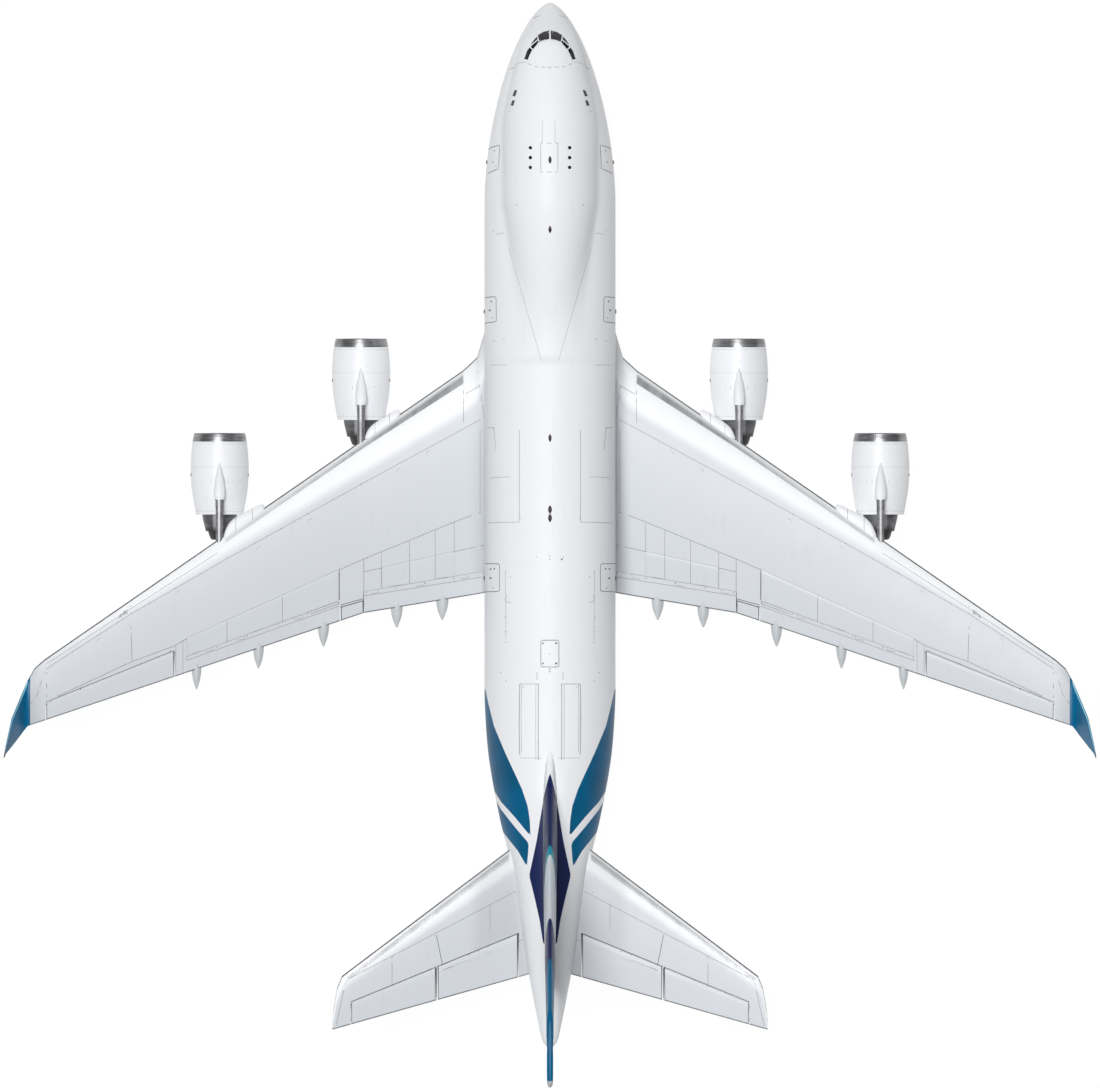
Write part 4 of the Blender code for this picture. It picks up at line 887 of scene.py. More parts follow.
class Surface:
    """A wing-like skin ruled between sections; place turns (span, s, h) into a point."""

    def __init__(self, plan, level, camber, place):
        self.place = place
        self.stations = [(r[0], r[1], r[2], level(r[0]), r[3], math.radians(r[4]) if len(r) > 4 else 0.0, camber)
                         for r in plan]

    def bounding(self, u):
        i = 0
        while i < len(self.stations) - 2 and u > self.stations[i + 1][0]:
            i += 1
        a, b = self.stations[i], self.stations[i + 1]
        return a, b, (u - a[0]) / (b[0] - a[0])

    def edges(self, u):
        a, b, t = self.bounding(u)
        return lerp(a[1], b[1], t), lerp(a[2], b[2], t)

    def skin(self, station, c, side):
        _, front, back, level, ratio, twist, camber = station
        chord = back - front
        return (level + chord * (math.tan(twist) * (0.4 - c) + 4.0 * camber * c * (1.0 - c)
                                 + side * half_thickness(ratio, c)))

    def heights(self, u, s):
        """Upper and lower skin heights at a span position and a station."""
        a, b, t = self.bounding(u)
        front, back = self.edges(u)
        c = min(max((s - front) / (back - front), 0.0), 1.0)
        return tuple(lerp(self.skin(a, c, side), self.skin(b, c, side), t) for side in (1.0, -1.0))

    def on_skin(self, u, s, side=1.0):
        """A point on the upper or lower skin, and the skin's outward direction there."""
        which = 0 if side > 0 else 1
        here = self.place(u, s, self.heights(u, s)[which])
        along = self.place(u, s + 0.01, self.heights(u, s + 0.01)[which]) - here
        across = self.place(u + 0.01, s, self.heights(u + 0.01, s)[which]) - here
        return here, across.cross(along) * side

    def solid(self, name, chord_steps=26, span_step=0.3, first=None):
        cs = [0.5 * (1.0 - math.cos(math.pi * (k / chord_steps) ** 1.15)) for k in range(chord_steps + 1)]
        cs[-1] = 1.0
        spans = []
        for a, b in zip(self.stations, self.stations[1:]):
            count = max(int(math.ceil((b[0] - a[0]) / span_step)), 1)
            spans += [lerp(a[0], b[0], k / count) for k in range(count)]
        spans.append(self.stations[-1][0])
        if first is not None:
            spans = [u for u in spans if u > first]
        rings = []
        for u in spans:
            front, back = self.edges(u)
            stops = [lerp(front, back, c) for c in cs]
            upper = [self.place(u, s, self.heights(u, s)[0]) for s in stops]
            lower = [self.place(u, s, self.heights(u, s)[1]) for s in stops[:0:-1]]
            rings.append(upper + lower)
        return loft(name, rings, 30.0)


def combine(target, tool, operation='DIFFERENCE', keep=False):
    """Cuts a tool out of a piece or joins it on, and leaves a plain mesh."""
    modifier = target.modifiers.new("combine", 'BOOLEAN')
    modifier.object = tool
    modifier.operation = operation
    modifier.solver = 'EXACT'
    bpy.context.view_layer.update()
    mesh = bpy.data.meshes.new_from_object(target.evaluated_get(bpy.context.evaluated_depsgraph_get()))
    target.modifiers.clear()
    target.data = mesh
    if not keep:
        bpy.data.objects.remove(tool, do_unlink=True)
    return target


def settle(obj, smooth=30.0):
    """Merges doubles and shades a finished mesh."""
    bm = bmesh.new()
    bm.from_mesh(obj.data)
    bmesh.ops.remove_doubles(bm, verts=bm.verts, dist=2e-6)
    bmesh.ops.triangulate(bm, faces=[f for f in bm.faces if len(f.verts) > 4])
    bm.to_mesh(obj.data)
    bm.free()
    obj.data.shade_smooth()
    obj.data.set_sharp_from_angle(angle=math.radians(smooth))


def mirrored(obj, name):
    """The right-hand twin of a left-hand piece."""
    twin = bpy.data.objects.new(name, obj.data.copy())
    twin.data.transform(Matrix.Diagonal((-1.0, 1.0, 1.0, 1.0)))
    twin.data.flip_normals()
    bpy.context.scene.collection.objects.link(twin)
    return twin


def fit(obj, body, material, node=None, twin=True, twin_body=None):
    """Paints a piece, rides it on its body and adds its twin on the other side."""
    obj.data.materials.clear()
    obj.data.materials.append(material)
    pieces = [(obj, body, node)]
    if twin:
        other = mirrored(obj, obj.name.replace("_left", "_right"))
        pieces.append((other, (twin_body or body).replace("_left", "_right"),
                       node.replace("_left", "_right") if node else None))
    for piece, where, replaced in pieces:
        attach(piece, where)
        if replaced:
            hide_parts(replaced)


def plate(name, place, spans, outline, smooth=30.0):
    """A solid through outlines of (s, h) points along a span; place turns (u, s, h) into a point."""
    return loft(name, [[place(u, s, h) for s, h in outline(u)] for u in spans], smooth)


def arc(centre_s, centre_h, radius, start, end, count, stretch=1.0):
    turns = [math.radians(lerp(start, end, k / count)) for k in range(count + 1)]
    return [(centre_s + radius * stretch * math.cos(t), centre_h + radius * math.sin(t)) for t in turns]


def ladder(a, b, step=0.3):
    count = max(int(math.ceil(abs(b - a) / step)), 1)
    return [lerp(a, b, k / count) for k in range(count + 1)]


class Hinge:
    """The straight hinge line of a control surface, with half the skins' thickness along it."""

    def __init__(self, surface, row_of):
        self.surface = surface
        self.u0, self.u1, s0, s1 = row_of
        self.low, self.high = self.values(self.u0, s0), self.values(self.u1, s1)
        span = self.u1 - self.u0
        self.rise = (self.high[1] - self.low[1]) / span
        self.stretch = math.hypot(1.0, (s1 - s0) / span)

    def values(self, u, s):
        upper, lower = self.surface.heights(u, s)
        return s, (upper + lower) / 2.0, (upper - lower) / 2.0

    def line(self, u):
        t = (u - self.u0) / (self.u1 - self.u0)
        return tuple(lerp(a, b, t) for a, b in zip(self.low, self.high))

    def square(self, u, s, h):
        """A point of the rib that stands square to the skin and meets the hinge line at u."""
        return self.surface.place(u - self.rise * (h - self.line(u)[1]), s, h)

    def point(self, u):
        s, h, _ = self.line(u)
        return self.surface.place(u, s, h)

    def drift(self, u, outline, travel, direction):
        """How far the rib at u moves along the span as the surface turns to its limits."""
        pivot = self.point(u)
        axis = (self.point(self.u1) - self.point(self.u0)).normalized()
        s, h, _ = self.line(u)
        normal = (self.square(u, s + 1.0, h) - pivot).cross(self.square(u, s, h + 1.0) - pivot).normalized()
        if normal.dot(axis) < 0.0:
            normal.negate()
        turns = [Matrix.Rotation(math.radians(angle), 3, axis) for angle in (-travel, travel)]
        ribs = [self.square(u, *point) - pivot for point in outline(u)]
        return max([0.0] + [direction * normal.dot(turn @ rib) for turn in turns for rib in ribs])


def moving_surface(name, surface, row_of, travel, depth, body, material, twin=True):
    """A trailing surface with a round nose and end pins, and the pocket it turns in."""
    hinge = Hinge(surface, row_of)
    u0, u1 = row_of[:2]

    def outline(u):
        s, h, r = hinge.line(u)
        back = surface.edges(u)[1]
        stops = ladder(s, back, (back - s) / 6.01)[1:]
        upper = [(p, surface.heights(u, p)[0]) for p in stops]
        lower = [(p, surface.heights(u, p)[1]) for p in reversed(stops)]
        return arc(s, h, r, 270.0, 90.0, 12, hinge.stretch) + upper + lower

    def pocket(u):
        s, h, r = hinge.line(u)
        back = surface.edges(u)[1] + 0.2
        seat = arc(s, h, r + RUN_GAP, 240.0, 120.0, 12, hinge.stretch)
        wall = seat[0][0]
        return [(back, h - 0.6), (wall, h - 0.6)] + seat + [(wall, h + 0.6), (back, h + 0.6)]

    clear = {way: RUN_GAP + hinge.drift(u, outline, travel, way) for way, u in ((-1.0, u0), (1.0, u1))}
    first, last = u0 + clear[-1.0], u1 - clear[1.0]
    spans = ladder(first, last)
    piece = plate(name, hinge.square, spans, outline)
    for u, way in ((first, -1.0), (last, 1.0)):
        combine(piece, tube("pin", hinge.point(u - way * 0.03), hinge.point(u + way * (clear[way] + depth)), 0.010, 12),
                'UNION')
    settle(piece)
    edges = np.array([surface.place(first, 0.0, 0.0), surface.place(last, 0.0, 0.0)])
    along = 0 if abs(edges[1][0] - edges[0][0]) > 0.1 else 2
    flat = np.empty(len(piece.data.vertices) * 3)
    piece.data.vertices.foreach_get("co", flat)
    points = flat.reshape(-1, 3)
    across = points[:, along]
    attribute(piece, "to_end", np.minimum(across - first, last - across))
    attribute(piece, "before_rear", [(surface.edges(u)[1] - y + NOSE_Y) / UNIT for u, y in zip(across, points[:, 1])])
    fit(piece, body, material, name, twin)
    return plate("pocket", hinge.square, ladder(u0, u1, 0.6), pocket)


def tube(name, start, end, radius, count=16, end_radius=None):
    axis = end - start
    last = radius if end_radius is None else end_radius
    return loft(name, [circle(start, axis, radius, count), circle(end, axis, last, count)], 50.0)


def wing_place(u, s, h):
    return at(u, s, h)


WING = Surface(WING_PLAN, wing_level, 0.014, wing_place)
# Plan stops of the bare band's rear line and of the front spar's joint
EDGE_LINE = [(60, 366), (86.9, 383.5), (185.4, 447), (325, 543), (420, 604), (505, 662)]
SPAR_LINE = [(60, 413.5), (70, 419.5), (190, 484.5), (324, 559), (419.5, 614), (503.6, 668.5), (530, 690)]


def along_line(stops, x):
    for (x0, y0), (x1, y1) in zip(stops, stops[1:]):
        if x <= x1:
            break
    return lerp(y0, y1, (x - x0) / (x1 - x0))


def edge_marks(obj, surface, band_line):
    """Distances, in plan units, of every point behind the front edge, behind its band and before the rear edge."""
    flat = np.empty(len(obj.data.vertices) * 3)
    obj.data.vertices.foreach_get("co", flat)
    marks = {"behind_front": [], "behind_band": [], "before_rear": []}
    for x, y, _ in flat.reshape(-1, 3):
        front, back = surface.edges(abs(x))
        s = y - NOSE_Y
        marks["behind_front"].append((s - front) / UNIT)
        marks["before_rear"].append((back - s) / UNIT)
        marks["behind_band"].append(s / UNIT + 1.9 - along_line(band_line, abs(x) / UNIT))
    for name, values in marks.items():
        attribute(obj, name, values)


def swept_paint(name, pale, band_span, band_ramp, band_tones):
    """Grey satin with a bare band in front, paled towards the front edge by a painted highlight on the curved nose.
    The bare band's grey is painted reflection of polished metal, and dark lines of painted shade run along both edges,
    at the root and beside the tip.

    pale is (taper, start, end) of the fade, band_span the band's ends, band_ramp where its tone sets in, and
    band_tones its inboard and outboard colours.
    """
    finish = Finish(name)
    across = finish.axis("X").size()
    front = finish.read("behind_front")
    taper, start, end = pale
    grey = weathered(finish, WING_GREY, 0.10)
    # paler towards the front edge: a painted highlight on the curved nose, widest inboard
    colour = finish.mix((front + across * taper).rise(start, end), weathered(finish, (0.83, 0.84, 0.855), 0.05), grey)
    inboard, outboard = band_span
    band = across.rise(inboard, inboard + 0.05) * (1.0 - across.rise(outboard, outboard + 0.05))
    band = band * (1.0 - finish.read("behind_band").rise(-0.3, 0.3))
    # the bare band's grey, dark inboard and lighter outboard, is painted reflection of polished metal
    bare = finish.mix(across.rise(inboard + 1.3, outboard - 1.0), *band_tones)
    bare = finish.mix(finish.noise(1.4, (3.0, 1.0, 1.0)).rise(0.3, 0.7) * 0.25, bare, (0.75, 0.76, 0.77))
    # the band sets in a little behind the front edge, which leaves a pale strip of painted highlight in front of it
    colour = finish.mix(band * front.rise(*band_ramp), colour, bare)
    # dark lines of painted shade along the front and rear edges
    colour = finish.mix((1.0 - front.rise(1.2, 1.9)) * 0.95, colour, (0.06, 0.065, 0.07))
    colour = finish.mix((1.0 - finish.read("before_rear").rise(0.8, 1.5)) * 0.9, colour, (0.09, 0.095, 0.10))
    # painted shade darkens the root beside the fuselage and the tip beside the winglet
    colour = finish.mix((1.0 - across.rise(1.62, 2.1)) * 0.25, colour, SOOT_AND_SHADE)
    colour = finish.mix(across.rise(12.6, 13.0) * 0.35, colour, SOOT_AND_SHADE)
    colour = finish.mix(across.rise(13.0, 13.01), colour, TEAL)
    rough = finish.noise(2.2) * 0.12 + 0.36 - band * 0.08
    ripple = finish.noise(1.3, detail=2.0) + finish.noise(140.0, detail=1.0) * 0.05
    return finish.done(colour, rough, band * 0.15, ripple, 0.0, 0.003, 0.3)


def panel_paint(name, colour, dirt=0.12, end_gap_shade=False, rear_edge_shade=False):
    """A satin paint; on a flap or control surface, painted shade darkens a thin line along the rear edge, and on a
    control surface also the end ribs, for the gaps beside them.
    """
    finish = Finish(name)
    base = weathered(finish, colour, dirt)
    # a thin line of painted shade along the rear edge
    if rear_edge_shade:
        base = finish.mix((1.0 - finish.read("before_rear").rise(0.8, 1.5)) * 0.9, base, (0.09, 0.095, 0.10))
    # painted shade on the end ribs, for the gaps beside them
    if end_gap_shade:
        base = finish.mix(finish.read("to_end").rise(0.012, 0.018), (0.04, 0.042, 0.045), base)
    return finish.done(base, finish.noise(2.4) * 0.14 + 0.33, 0.0,
                       finish.noise(1.5, detail=2.0) + finish.noise(140.0, detail=1.0) * 0.05, 0.05, 0.003, 0.3)


FLAP_PAINT = panel_paint("flap_grey_satin", (0.61, 0.635, 0.67), 0.12, False, True)
CONTROL_PAINT = panel_paint("control_grey_satin", (0.61, 0.635, 0.67), 0.12, True, True)
SPOILER_PAINT = panel_paint("spoiler_grey_satin", (0.60, 0.625, 0.665), 0.09)


def spoiler(name, surface, row_of):
    """A lift-dumping plate hinged at its front edge, and the recess it lies in."""
    u0, u1, front0, front1, back0, back1 = row_of
    radius = SPOILER_THICK / 2.0
    ends = {u: (front, surface.heights(u, front)[0] - radius) for u, front in ((u0, front0), (u1, front1))}

    def line(u):
        t = (u - u0) / (u1 - u0)
        return tuple(lerp(a, b, t) for a, b in zip(ends[u0], ends[u1]))

    def rear(u):
        return lerp(back0, back1, (u - u0) / (u1 - u0))

    def outline(u):
        s, h = line(u)
        back = rear(u) - RUN_GAP
        stops = ladder(s, back, (back - s) / 6.01)[1:]
        upper = [(p, surface.heights(u, p)[0]) for p in stops]
        return arc(s, h, radius, 270.0, 90.0, 8) + upper + [(p, h2 - SPOILER_THICK) for p, h2 in reversed(upper)]

    def recess(u):
        s, h = line(u)
        back = rear(u) + 0.012
        stops = ladder(back, s, (back - s) / 6.01)
        low = SPOILER_THICK + RUN_GAP + 0.003
        front = s - radius - RUN_GAP
        floor = [(p, surface.heights(u, p)[0] - low) for p in stops]
        return floor + [(front, floor[-1][1]), (front, h + 0.5), (back, h + 0.5)]

    piece = plate(name, surface.place, ladder(u0 + RUN_GAP, u1 - RUN_GAP), outline)
    settle(piece)
    fit(piece, name + "_body", SPOILER_PAINT, name)
    return plate("recess", surface.place, ladder(u0, u1, 0.6), recess)


def flap(name, surface, row_of, only_tool=False):
    """A fixed flap, and the block that clears it out of the wing."""
    u0, u1, front0, front1 = row_of

    def front(u):
        return lerp(front0, front1, (u - u0) / (u1 - u0))

    def outline(u):
        back = surface.edges(u)[1]
        stops = ladder(front(u), back, (back - front(u)) / 8.01)
        return ([(p, surface.heights(u, p)[0]) for p in stops]
                + [(p, surface.heights(u, p)[1]) for p in reversed(stops)])

    def clear(u):
        s = front(u) - 0.004
        level = surface.heights(u, s)[0]
        back = surface.edges(u)[1] + 0.3
        return [(s, level - 0.9), (s, level + 0.5), (back, level + 0.5), (back, level - 0.9)]

    if not only_tool:
        piece = plate(name, surface.place, ladder(u0 + 0.003, u1 - 0.003), outline)
        settle(piece)
        attribute(piece, "before_rear",
                  [(surface.edges(v.co.x)[1] - v.co.y + NOSE_Y) / UNIT for v in piece.data.vertices])
        fit(piece, "airframe", FLAP_PAINT, name)
    return plate("clearing", surface.place, ladder(u0, u1, 0.6), clear)


def wing():
    tools = [moving_surface("aileron_inner_left", WING, AILERON_INNER, AILERON_TRAVEL, 0.012,
                            "aileron_inner_left_body", CONTROL_PAINT),
             moving_surface("aileron_outer_left", WING, AILERON_OUTER, AILERON_TRAVEL, 0.03,
                            "aileron_outer_left_body", CONTROL_PAINT),
             spoiler("spoiler_inner_left", WING, SPOILER_INNER),
             spoiler("spoiler_outer_left", WING, SPOILER_OUTER),
             flap("flap_inner_left", WING, FLAP_INNER), flap("flap_outer_left", WING, FLAP_OUTER)]
    skin = WING.solid("wing_skin_left")
    for tool in tools:
        combine(skin, tool)
    settle(skin)
    edge_marks(skin, WING, EDGE_LINE)
    paint = swept_paint("wing_grey_satin", (3.75, 43.0, 57.0), (2.15, 8.1), (2.5, 7.5),
                        ((0.27, 0.275, 0.285), (0.52, 0.53, 0.55)))
    fit(skin, "airframe", paint, "wing_left")


wing()


# Flap track fairings
# Long moulded pods bolted under the rear of the wing cover the flap tracks and stand out behind the flaps.
CANOES = [(2.70, 14.55, 0.142), (3.84, 14.62, 0.136), (5.675, 14.95, 0.13), (7.30, 15.55, 0.122),
          (8.85, 16.1, 0.11)]
CANOE_LEAD = 1.25
CANOE_FRONT = [(0.0, 0.12, 0.0), (0.19, 0.7, 0.1), (0.58, 1.0, 0.5)]
CANOE_TAIL = [(0.0, 0.98, 1.06), (0.25, 0.74, 1.36), (0.5, 0.12, 7.5)]


def canoes():
    pods, caps = [], []
    for x, front, width in CANOES:
        edge = WING.edges(x)[1]
        start = front - CANOE_LEAD
        stops = [(lerp(start, edge, t), width * size, sink * width * size) for t, size, sink in CANOE_FRONT]
        stops += [(edge + behind, width * size, sink * width * size) for behind, size, sink in CANOE_TAIL]
        sizes, drops = [(s, half) for s, half, _ in stops], [(s, drop) for s, _, drop in stops]
        rings = []
        for s in ladder(start, edge, 0.08)[:-1] + ladder(edge, edge + 0.5, 0.03):
            half = flowing(sizes, s) * (1.0 + 0.12 * smoothstep((s - edge + 0.3) / 0.3))
            centre = at(x, s, WING.heights(x, min(s, edge))[1] - flowing(drops, s))
            turns = full_turn(24)
            rings.append([centre + Vector((half * math.cos(t), 0.0, 1.15 * half * math.sin(t))) for t in turns])
        pods.append(skin_of_rings(rings))
        # a small cap over the track's rear fitting, on top of the flap
        rings = []
        for k in range(7):
            level = math.sin(math.pi / 2.0 * k / 6.0)
            spread = max(math.cos(math.pi / 2.0 * k / 6.0), 0.05)
            middle, normal = WING.on_skin(x, edge - 0.075)
            normal.normalize()
            rings.append([middle + normal * (0.012 * level - 0.004) + Vector((0.052 * spread * math.cos(t),
                                                                            0.062 * spread * math.sin(t), 0.0))
                          for t in full_turn(20)])
        caps.append(skin_of_rings(rings))
    fit(gather("flap_track_fairings_left", pods, 45.0), "airframe",
        panel_paint("fairing_white_satin", (0.52, 0.545, 0.56), 0.3))
    fit(gather("flap_track_caps_left", caps, 45.0), "airframe",
        panel_paint("track_cap_grey_satin", (0.52, 0.54, 0.57)))


canoes()


# Wing seams
# Sealed joints run along the spars and ribs, with rows of fastener heads beside them, and thin lines part
# the spoiler and flap panels.
def skin_path(surface, stops, side=1.0, step=0.25, read=lambda p: (p[0] * UNIT, row(p[1]))):
    """Points and outward directions on a wing skin through (x, row) plan stops, unless told how to read them."""
    stops = [read(p) for p in stops]
    points, normals = [], []
    for (u0, s0), (u1, s1) in zip(stops, stops[1:]):
        count = max(int(math.hypot(u1 - u0, s1 - s0) / step), 1)
        for k in range(count + (1 if (u1, s1) == stops[-1] else 0)):
            point, normal = surface.on_skin(lerp(u0, u1, k / count), lerp(s0, s1, k / count), side)
            points.append(point)
            normals.append(normal.normalized())
    return points, normals


def skin_line(surface, stops, width=0.018, side=1.0, step=0.25):
    return ribbon(*skin_path(surface, stops, side, step), width)


HINGE_LINE_LEAD = 0.055


def hinge_shade_line(surface, row_of, width=0.020, side=1.0):
    """A dark strip along the pocket's edge in front of a control surface, painted shade for the groove there."""
    u0, u1, s0, s1 = row_of
    stops = [(u, s - HINGE_LINE_LEAD) for u, s in ((u0, s0), (u1, s1))]
    return ribbon(*skin_path(surface, stops, side, 0.25, lambda p: p), width)


def wing_seams():
    rear_spar = [(70, 512.3), (93, 520.8), (186.5, 559), (211, 569.8)]
    outer_spar = [(365, 639.5), (376, 646), (419, 662), (492, 696)]
    fine = [skin_line(WING, stops, width) for stops, width in (
        (SPAR_LINE[1:-1], 0.012), (rear_spar, 0.014), (outer_spar, 0.014),
        ([(66, 545), (96, 551.6)], 0.014), ([(168.5, 568), (186, 571.7)], 0.014),
        ([(419.5, 626), (418.4, 661)], 0.014), ([(419.5, 606), (419.5, 614)], 0.014),
        ([(186.5, 559), (186.5, 613)], 0.014), ([(210.8, 569.8), (210.8, 600)], 0.014),
        ([(86.6, 370.7), (86.6, 422.5)], 0.012), ([(73.7, 357.7), (70.5, 385.5), (66, 417.9)], 0.012),
        ([(84.8, 393.8), (70.5, 385.5)], 0.012), ([(70, 430), (70, 512)], 0.010),
        ([(503.8, 660.5), (503.8, 698)], 0.014),
        ([(374.6, 646), (374.6, 673)], 0.012), ([(367.5, 640.5), (367.5, 671)], 0.010),
        ([(506, 671), (513, 694), (521, 706)], 0.012),
        ([(67, 571.4), (186, 591.4)], 0.012), ([(67, 577), (186, 596)], 0.012),
        ([(210.9, 601), (365, 657)], 0.012), ([(210.9, 606), (365, 661)], 0.012),
        ([(333, 553), (420, 609), (504, 664)], 0.010))]
    for x, top, low in ((95.9, 522, 552), (115, 530, 556), (140.7, 541, 562), (169, 551.5, 568)):
        fine.append(skin_line(WING, [(x, top), (x, low)], 0.010))
    for x, top, low in ((115, 556.5, 579), (140.7, 562.2, 583.4), (169, 568, 588), (268, 597, 621.5),
                        (323.5, 622, 641.5)):
        fine.append(skin_line(WING, [(x, top), (x, low)], 0.012, 1.0, 0.1))
    for x, top in ((82, 574.5), (126, 582), (172, 589.6), (248, 615), (306, 636), (338, 647.5)):
        fine.append(skin_line(WING, [(x, top), (x, top + 3), (x + 8, top + 4.4)], 0.010, 1.0, 0.1))
    for x, y in ((150, 470), (238, 520), (290, 548), (370, 592), (120, 452), (450, 640)):
        fine.append(skin_line(WING, [(x, y - 2), (x + 3.5, y), (x + 3.5, y + 2.2)], 0.008, 1.0, 0.05))
    under = [skin_line(WING, SPAR_LINE[1:-1], 0.014, -1.0),
             skin_line(WING, [(70, 512.3), (186.5, 559), (376, 646), (492, 696)], 0.014, -1.0),
             skin_line(WING, [(419.5, 614), (419.5, 660)], 0.012, -1.0)]
    for x in (120, 160, 240, 285, 365, 460):
        under.append(skin_line(WING, [(x, along_line(SPAR_LINE, x)),
                                      (x, along_line([(70, 512), (186.5, 559), (376, 646), (492, 696)], x))],
                               0.010, -1.0))
    fit(gather("wing_joints_left", fine + under), "airframe", SEAM_GREY)
    # dark lines at the inner aileron's gaps and the outer flap's front edge are painted shade for the gaps there
    dark = [skin_line(WING, stops, width, 1.0, 0.1) for stops, width in (
        ([(209.7, 607.5), (187.5, 601)], 0.022), ([(186.8, 591.5), (186.8, 613)], 0.012),
        ([(211.2, 572), (211.2, 600)], 0.012), ([(210.9, 603.5), (240, 614)], 0.010))]
    dark += [hinge_shade_line(WING, hinged, 0.016, side) for hinged in (AILERON_INNER, AILERON_OUTER) for side in (1.0, -1.0)]
    fit(gather("wing_gap_seals_left", dark), "airframe", DARK_SEAL_AND_GAP_SHADE)

    def beside(stops, shift):
        return [(x, y + shift) for x, y in stops]

    rows = [skin_path(WING, beside(stops, shift), side) for side in (1.0, -1.0) for stops, shift in (
        (SPAR_LINE[1:-1], 1.4), (rear_spar, -1.4), (outer_spar, -1.4), (EDGE_LINE[1:-1], 1.6))]
    fit(fasteners("wing_fasteners_left", rows, 0.16, 0.006), "airframe", FASTENER_STEEL)
    spaced = [skin_path(WING, beside(stops, shift)) for stops, shift in (
        (SPAR_LINE[2:-1], 0.0), (rear_spar, 0.0), (outer_spar, 0.0), ([(67, 573.5), (184, 593)], 0.0),
        ([(212, 603), (364, 658.5)], 0.0), ([(380, 651), (500, 702)], 0.0))]
    fit(fasteners("wing_latches_left", spaced, 0.72, 0.017, 0.003), "airframe", FASTENER_STEEL)


wing_seams()


# Leading edge service panel and swellings
# A bare panel sits in the outer leading edge, and rounded fairings swell out of the edge beside each engine.
SWELLINGS = [[(149.0, 0.0), (151.4, 4.9), (156.0, 7.1), (165.0, 7.8), (176.4, 8.3), (182.0, 6.6), (187.0, 0.0)],
             [(284.5, 0.0), (288.6, 5.0), (301.0, 7.8), (313.5, 10.2), (322.0, 8.3), (328.0, 0.0)]]


def edge_details():
    patch = []
    for x0, x1, y0, y1 in ((423.0, 427.6, 609.6, 613.6), (428.2, 431.4, 613.2, 616.4), (421.2, 422.2, 622.4, 623.4)):
        verts = []
        for lift in (0.002, -0.004):
            for x, y in ((x0, y0), (x1, y0 + 2.2), (x1, y1 + 2.2), (x0, y1)):
                point, normal = WING.on_skin(x * UNIT, row(y))
                verts.append(point + normal.normalized() * lift)
        patch.append((verts, [(0, 1, 2, 3), (7, 6, 5, 4), (0, 4, 5, 1), (1, 5, 6, 2), (2, 6, 7, 3), (3, 7, 4, 0)]))
    piece = gather("edge_service_panel_left", patch)
    finish = Finish("bare_panel")
    tone = finish.mix(finish.noise(8.0), (0.16, 0.165, 0.17), (0.30, 0.305, 0.31))
    fit(piece, "airframe", finish.done(tone, finish.noise(20.0) * 0.2 + 0.35, 0.4, finish.noise(150.0)))
    swells, joints = [], []
    for outline in SWELLINGS:
        x0, x1 = outline[0][0], outline[-1][0]
        rings = []
        for k in range(25):
            x = lerp(x0, x1, 0.5 - 0.5 * math.cos(math.pi * k / 24.0)) * UNIT
            s = WING.edges(x)[0] + 0.09
            reach = max(flowing(outline, x / UNIT), 0.0) * UNIT
            centre = at(x, s, sum(WING.heights(x, s)) / 2.0)
            forward = 0.02 + reach + 0.07 * min(reach / 0.1, 1.0)
            height = 0.012 + 0.06 * min(reach / 0.2, 1.0) ** 0.6
            rings.append([centre + Vector((0.0, -(forward if math.cos(a) > 0.0 else 0.03) * math.cos(a),
                                          height * math.sin(a))) for a in full_turn(28)])
        swells.append(skin_of_rings(rings))
        for k in (9, 15):
            top = rings[k][:9]
            up = [(p - (rings[k][0] + rings[k][14]) / 2.0).normalized() for p in top]
            joints.append(ribbon(top, up, 0.010))
    fit(gather("edge_swellings_left", swells, 50.0), "airframe",
        panel_paint("edge_white_satin", (0.79, 0.80, 0.815), 0.12))
    fit(gather("edge_swelling_joints_left", joints), "airframe", SEAM_GREY)


edge_details()


# Winglets
# Upturned blades bonded to the wing tips, painted teal, with a painted highlight along the leading edge and a dark tip.
WINGLET_ROWS = [(13.0703, 0.0, 16.965, 18.11, 6.0, 0.08), (13.16, 0.05, 17.175, 18.22, 42.0, 0.08),
                (13.245, 0.20, 17.385, 18.34, 64.0, 0.075), (13.45, 0.79, 17.885, 18.61, 71.0, 0.075),
                (13.60, 1.25, 18.57, 18.80, 72.0, 0.08), (13.65, 1.40, 18.84, 18.93, 72.0, 0.08)]


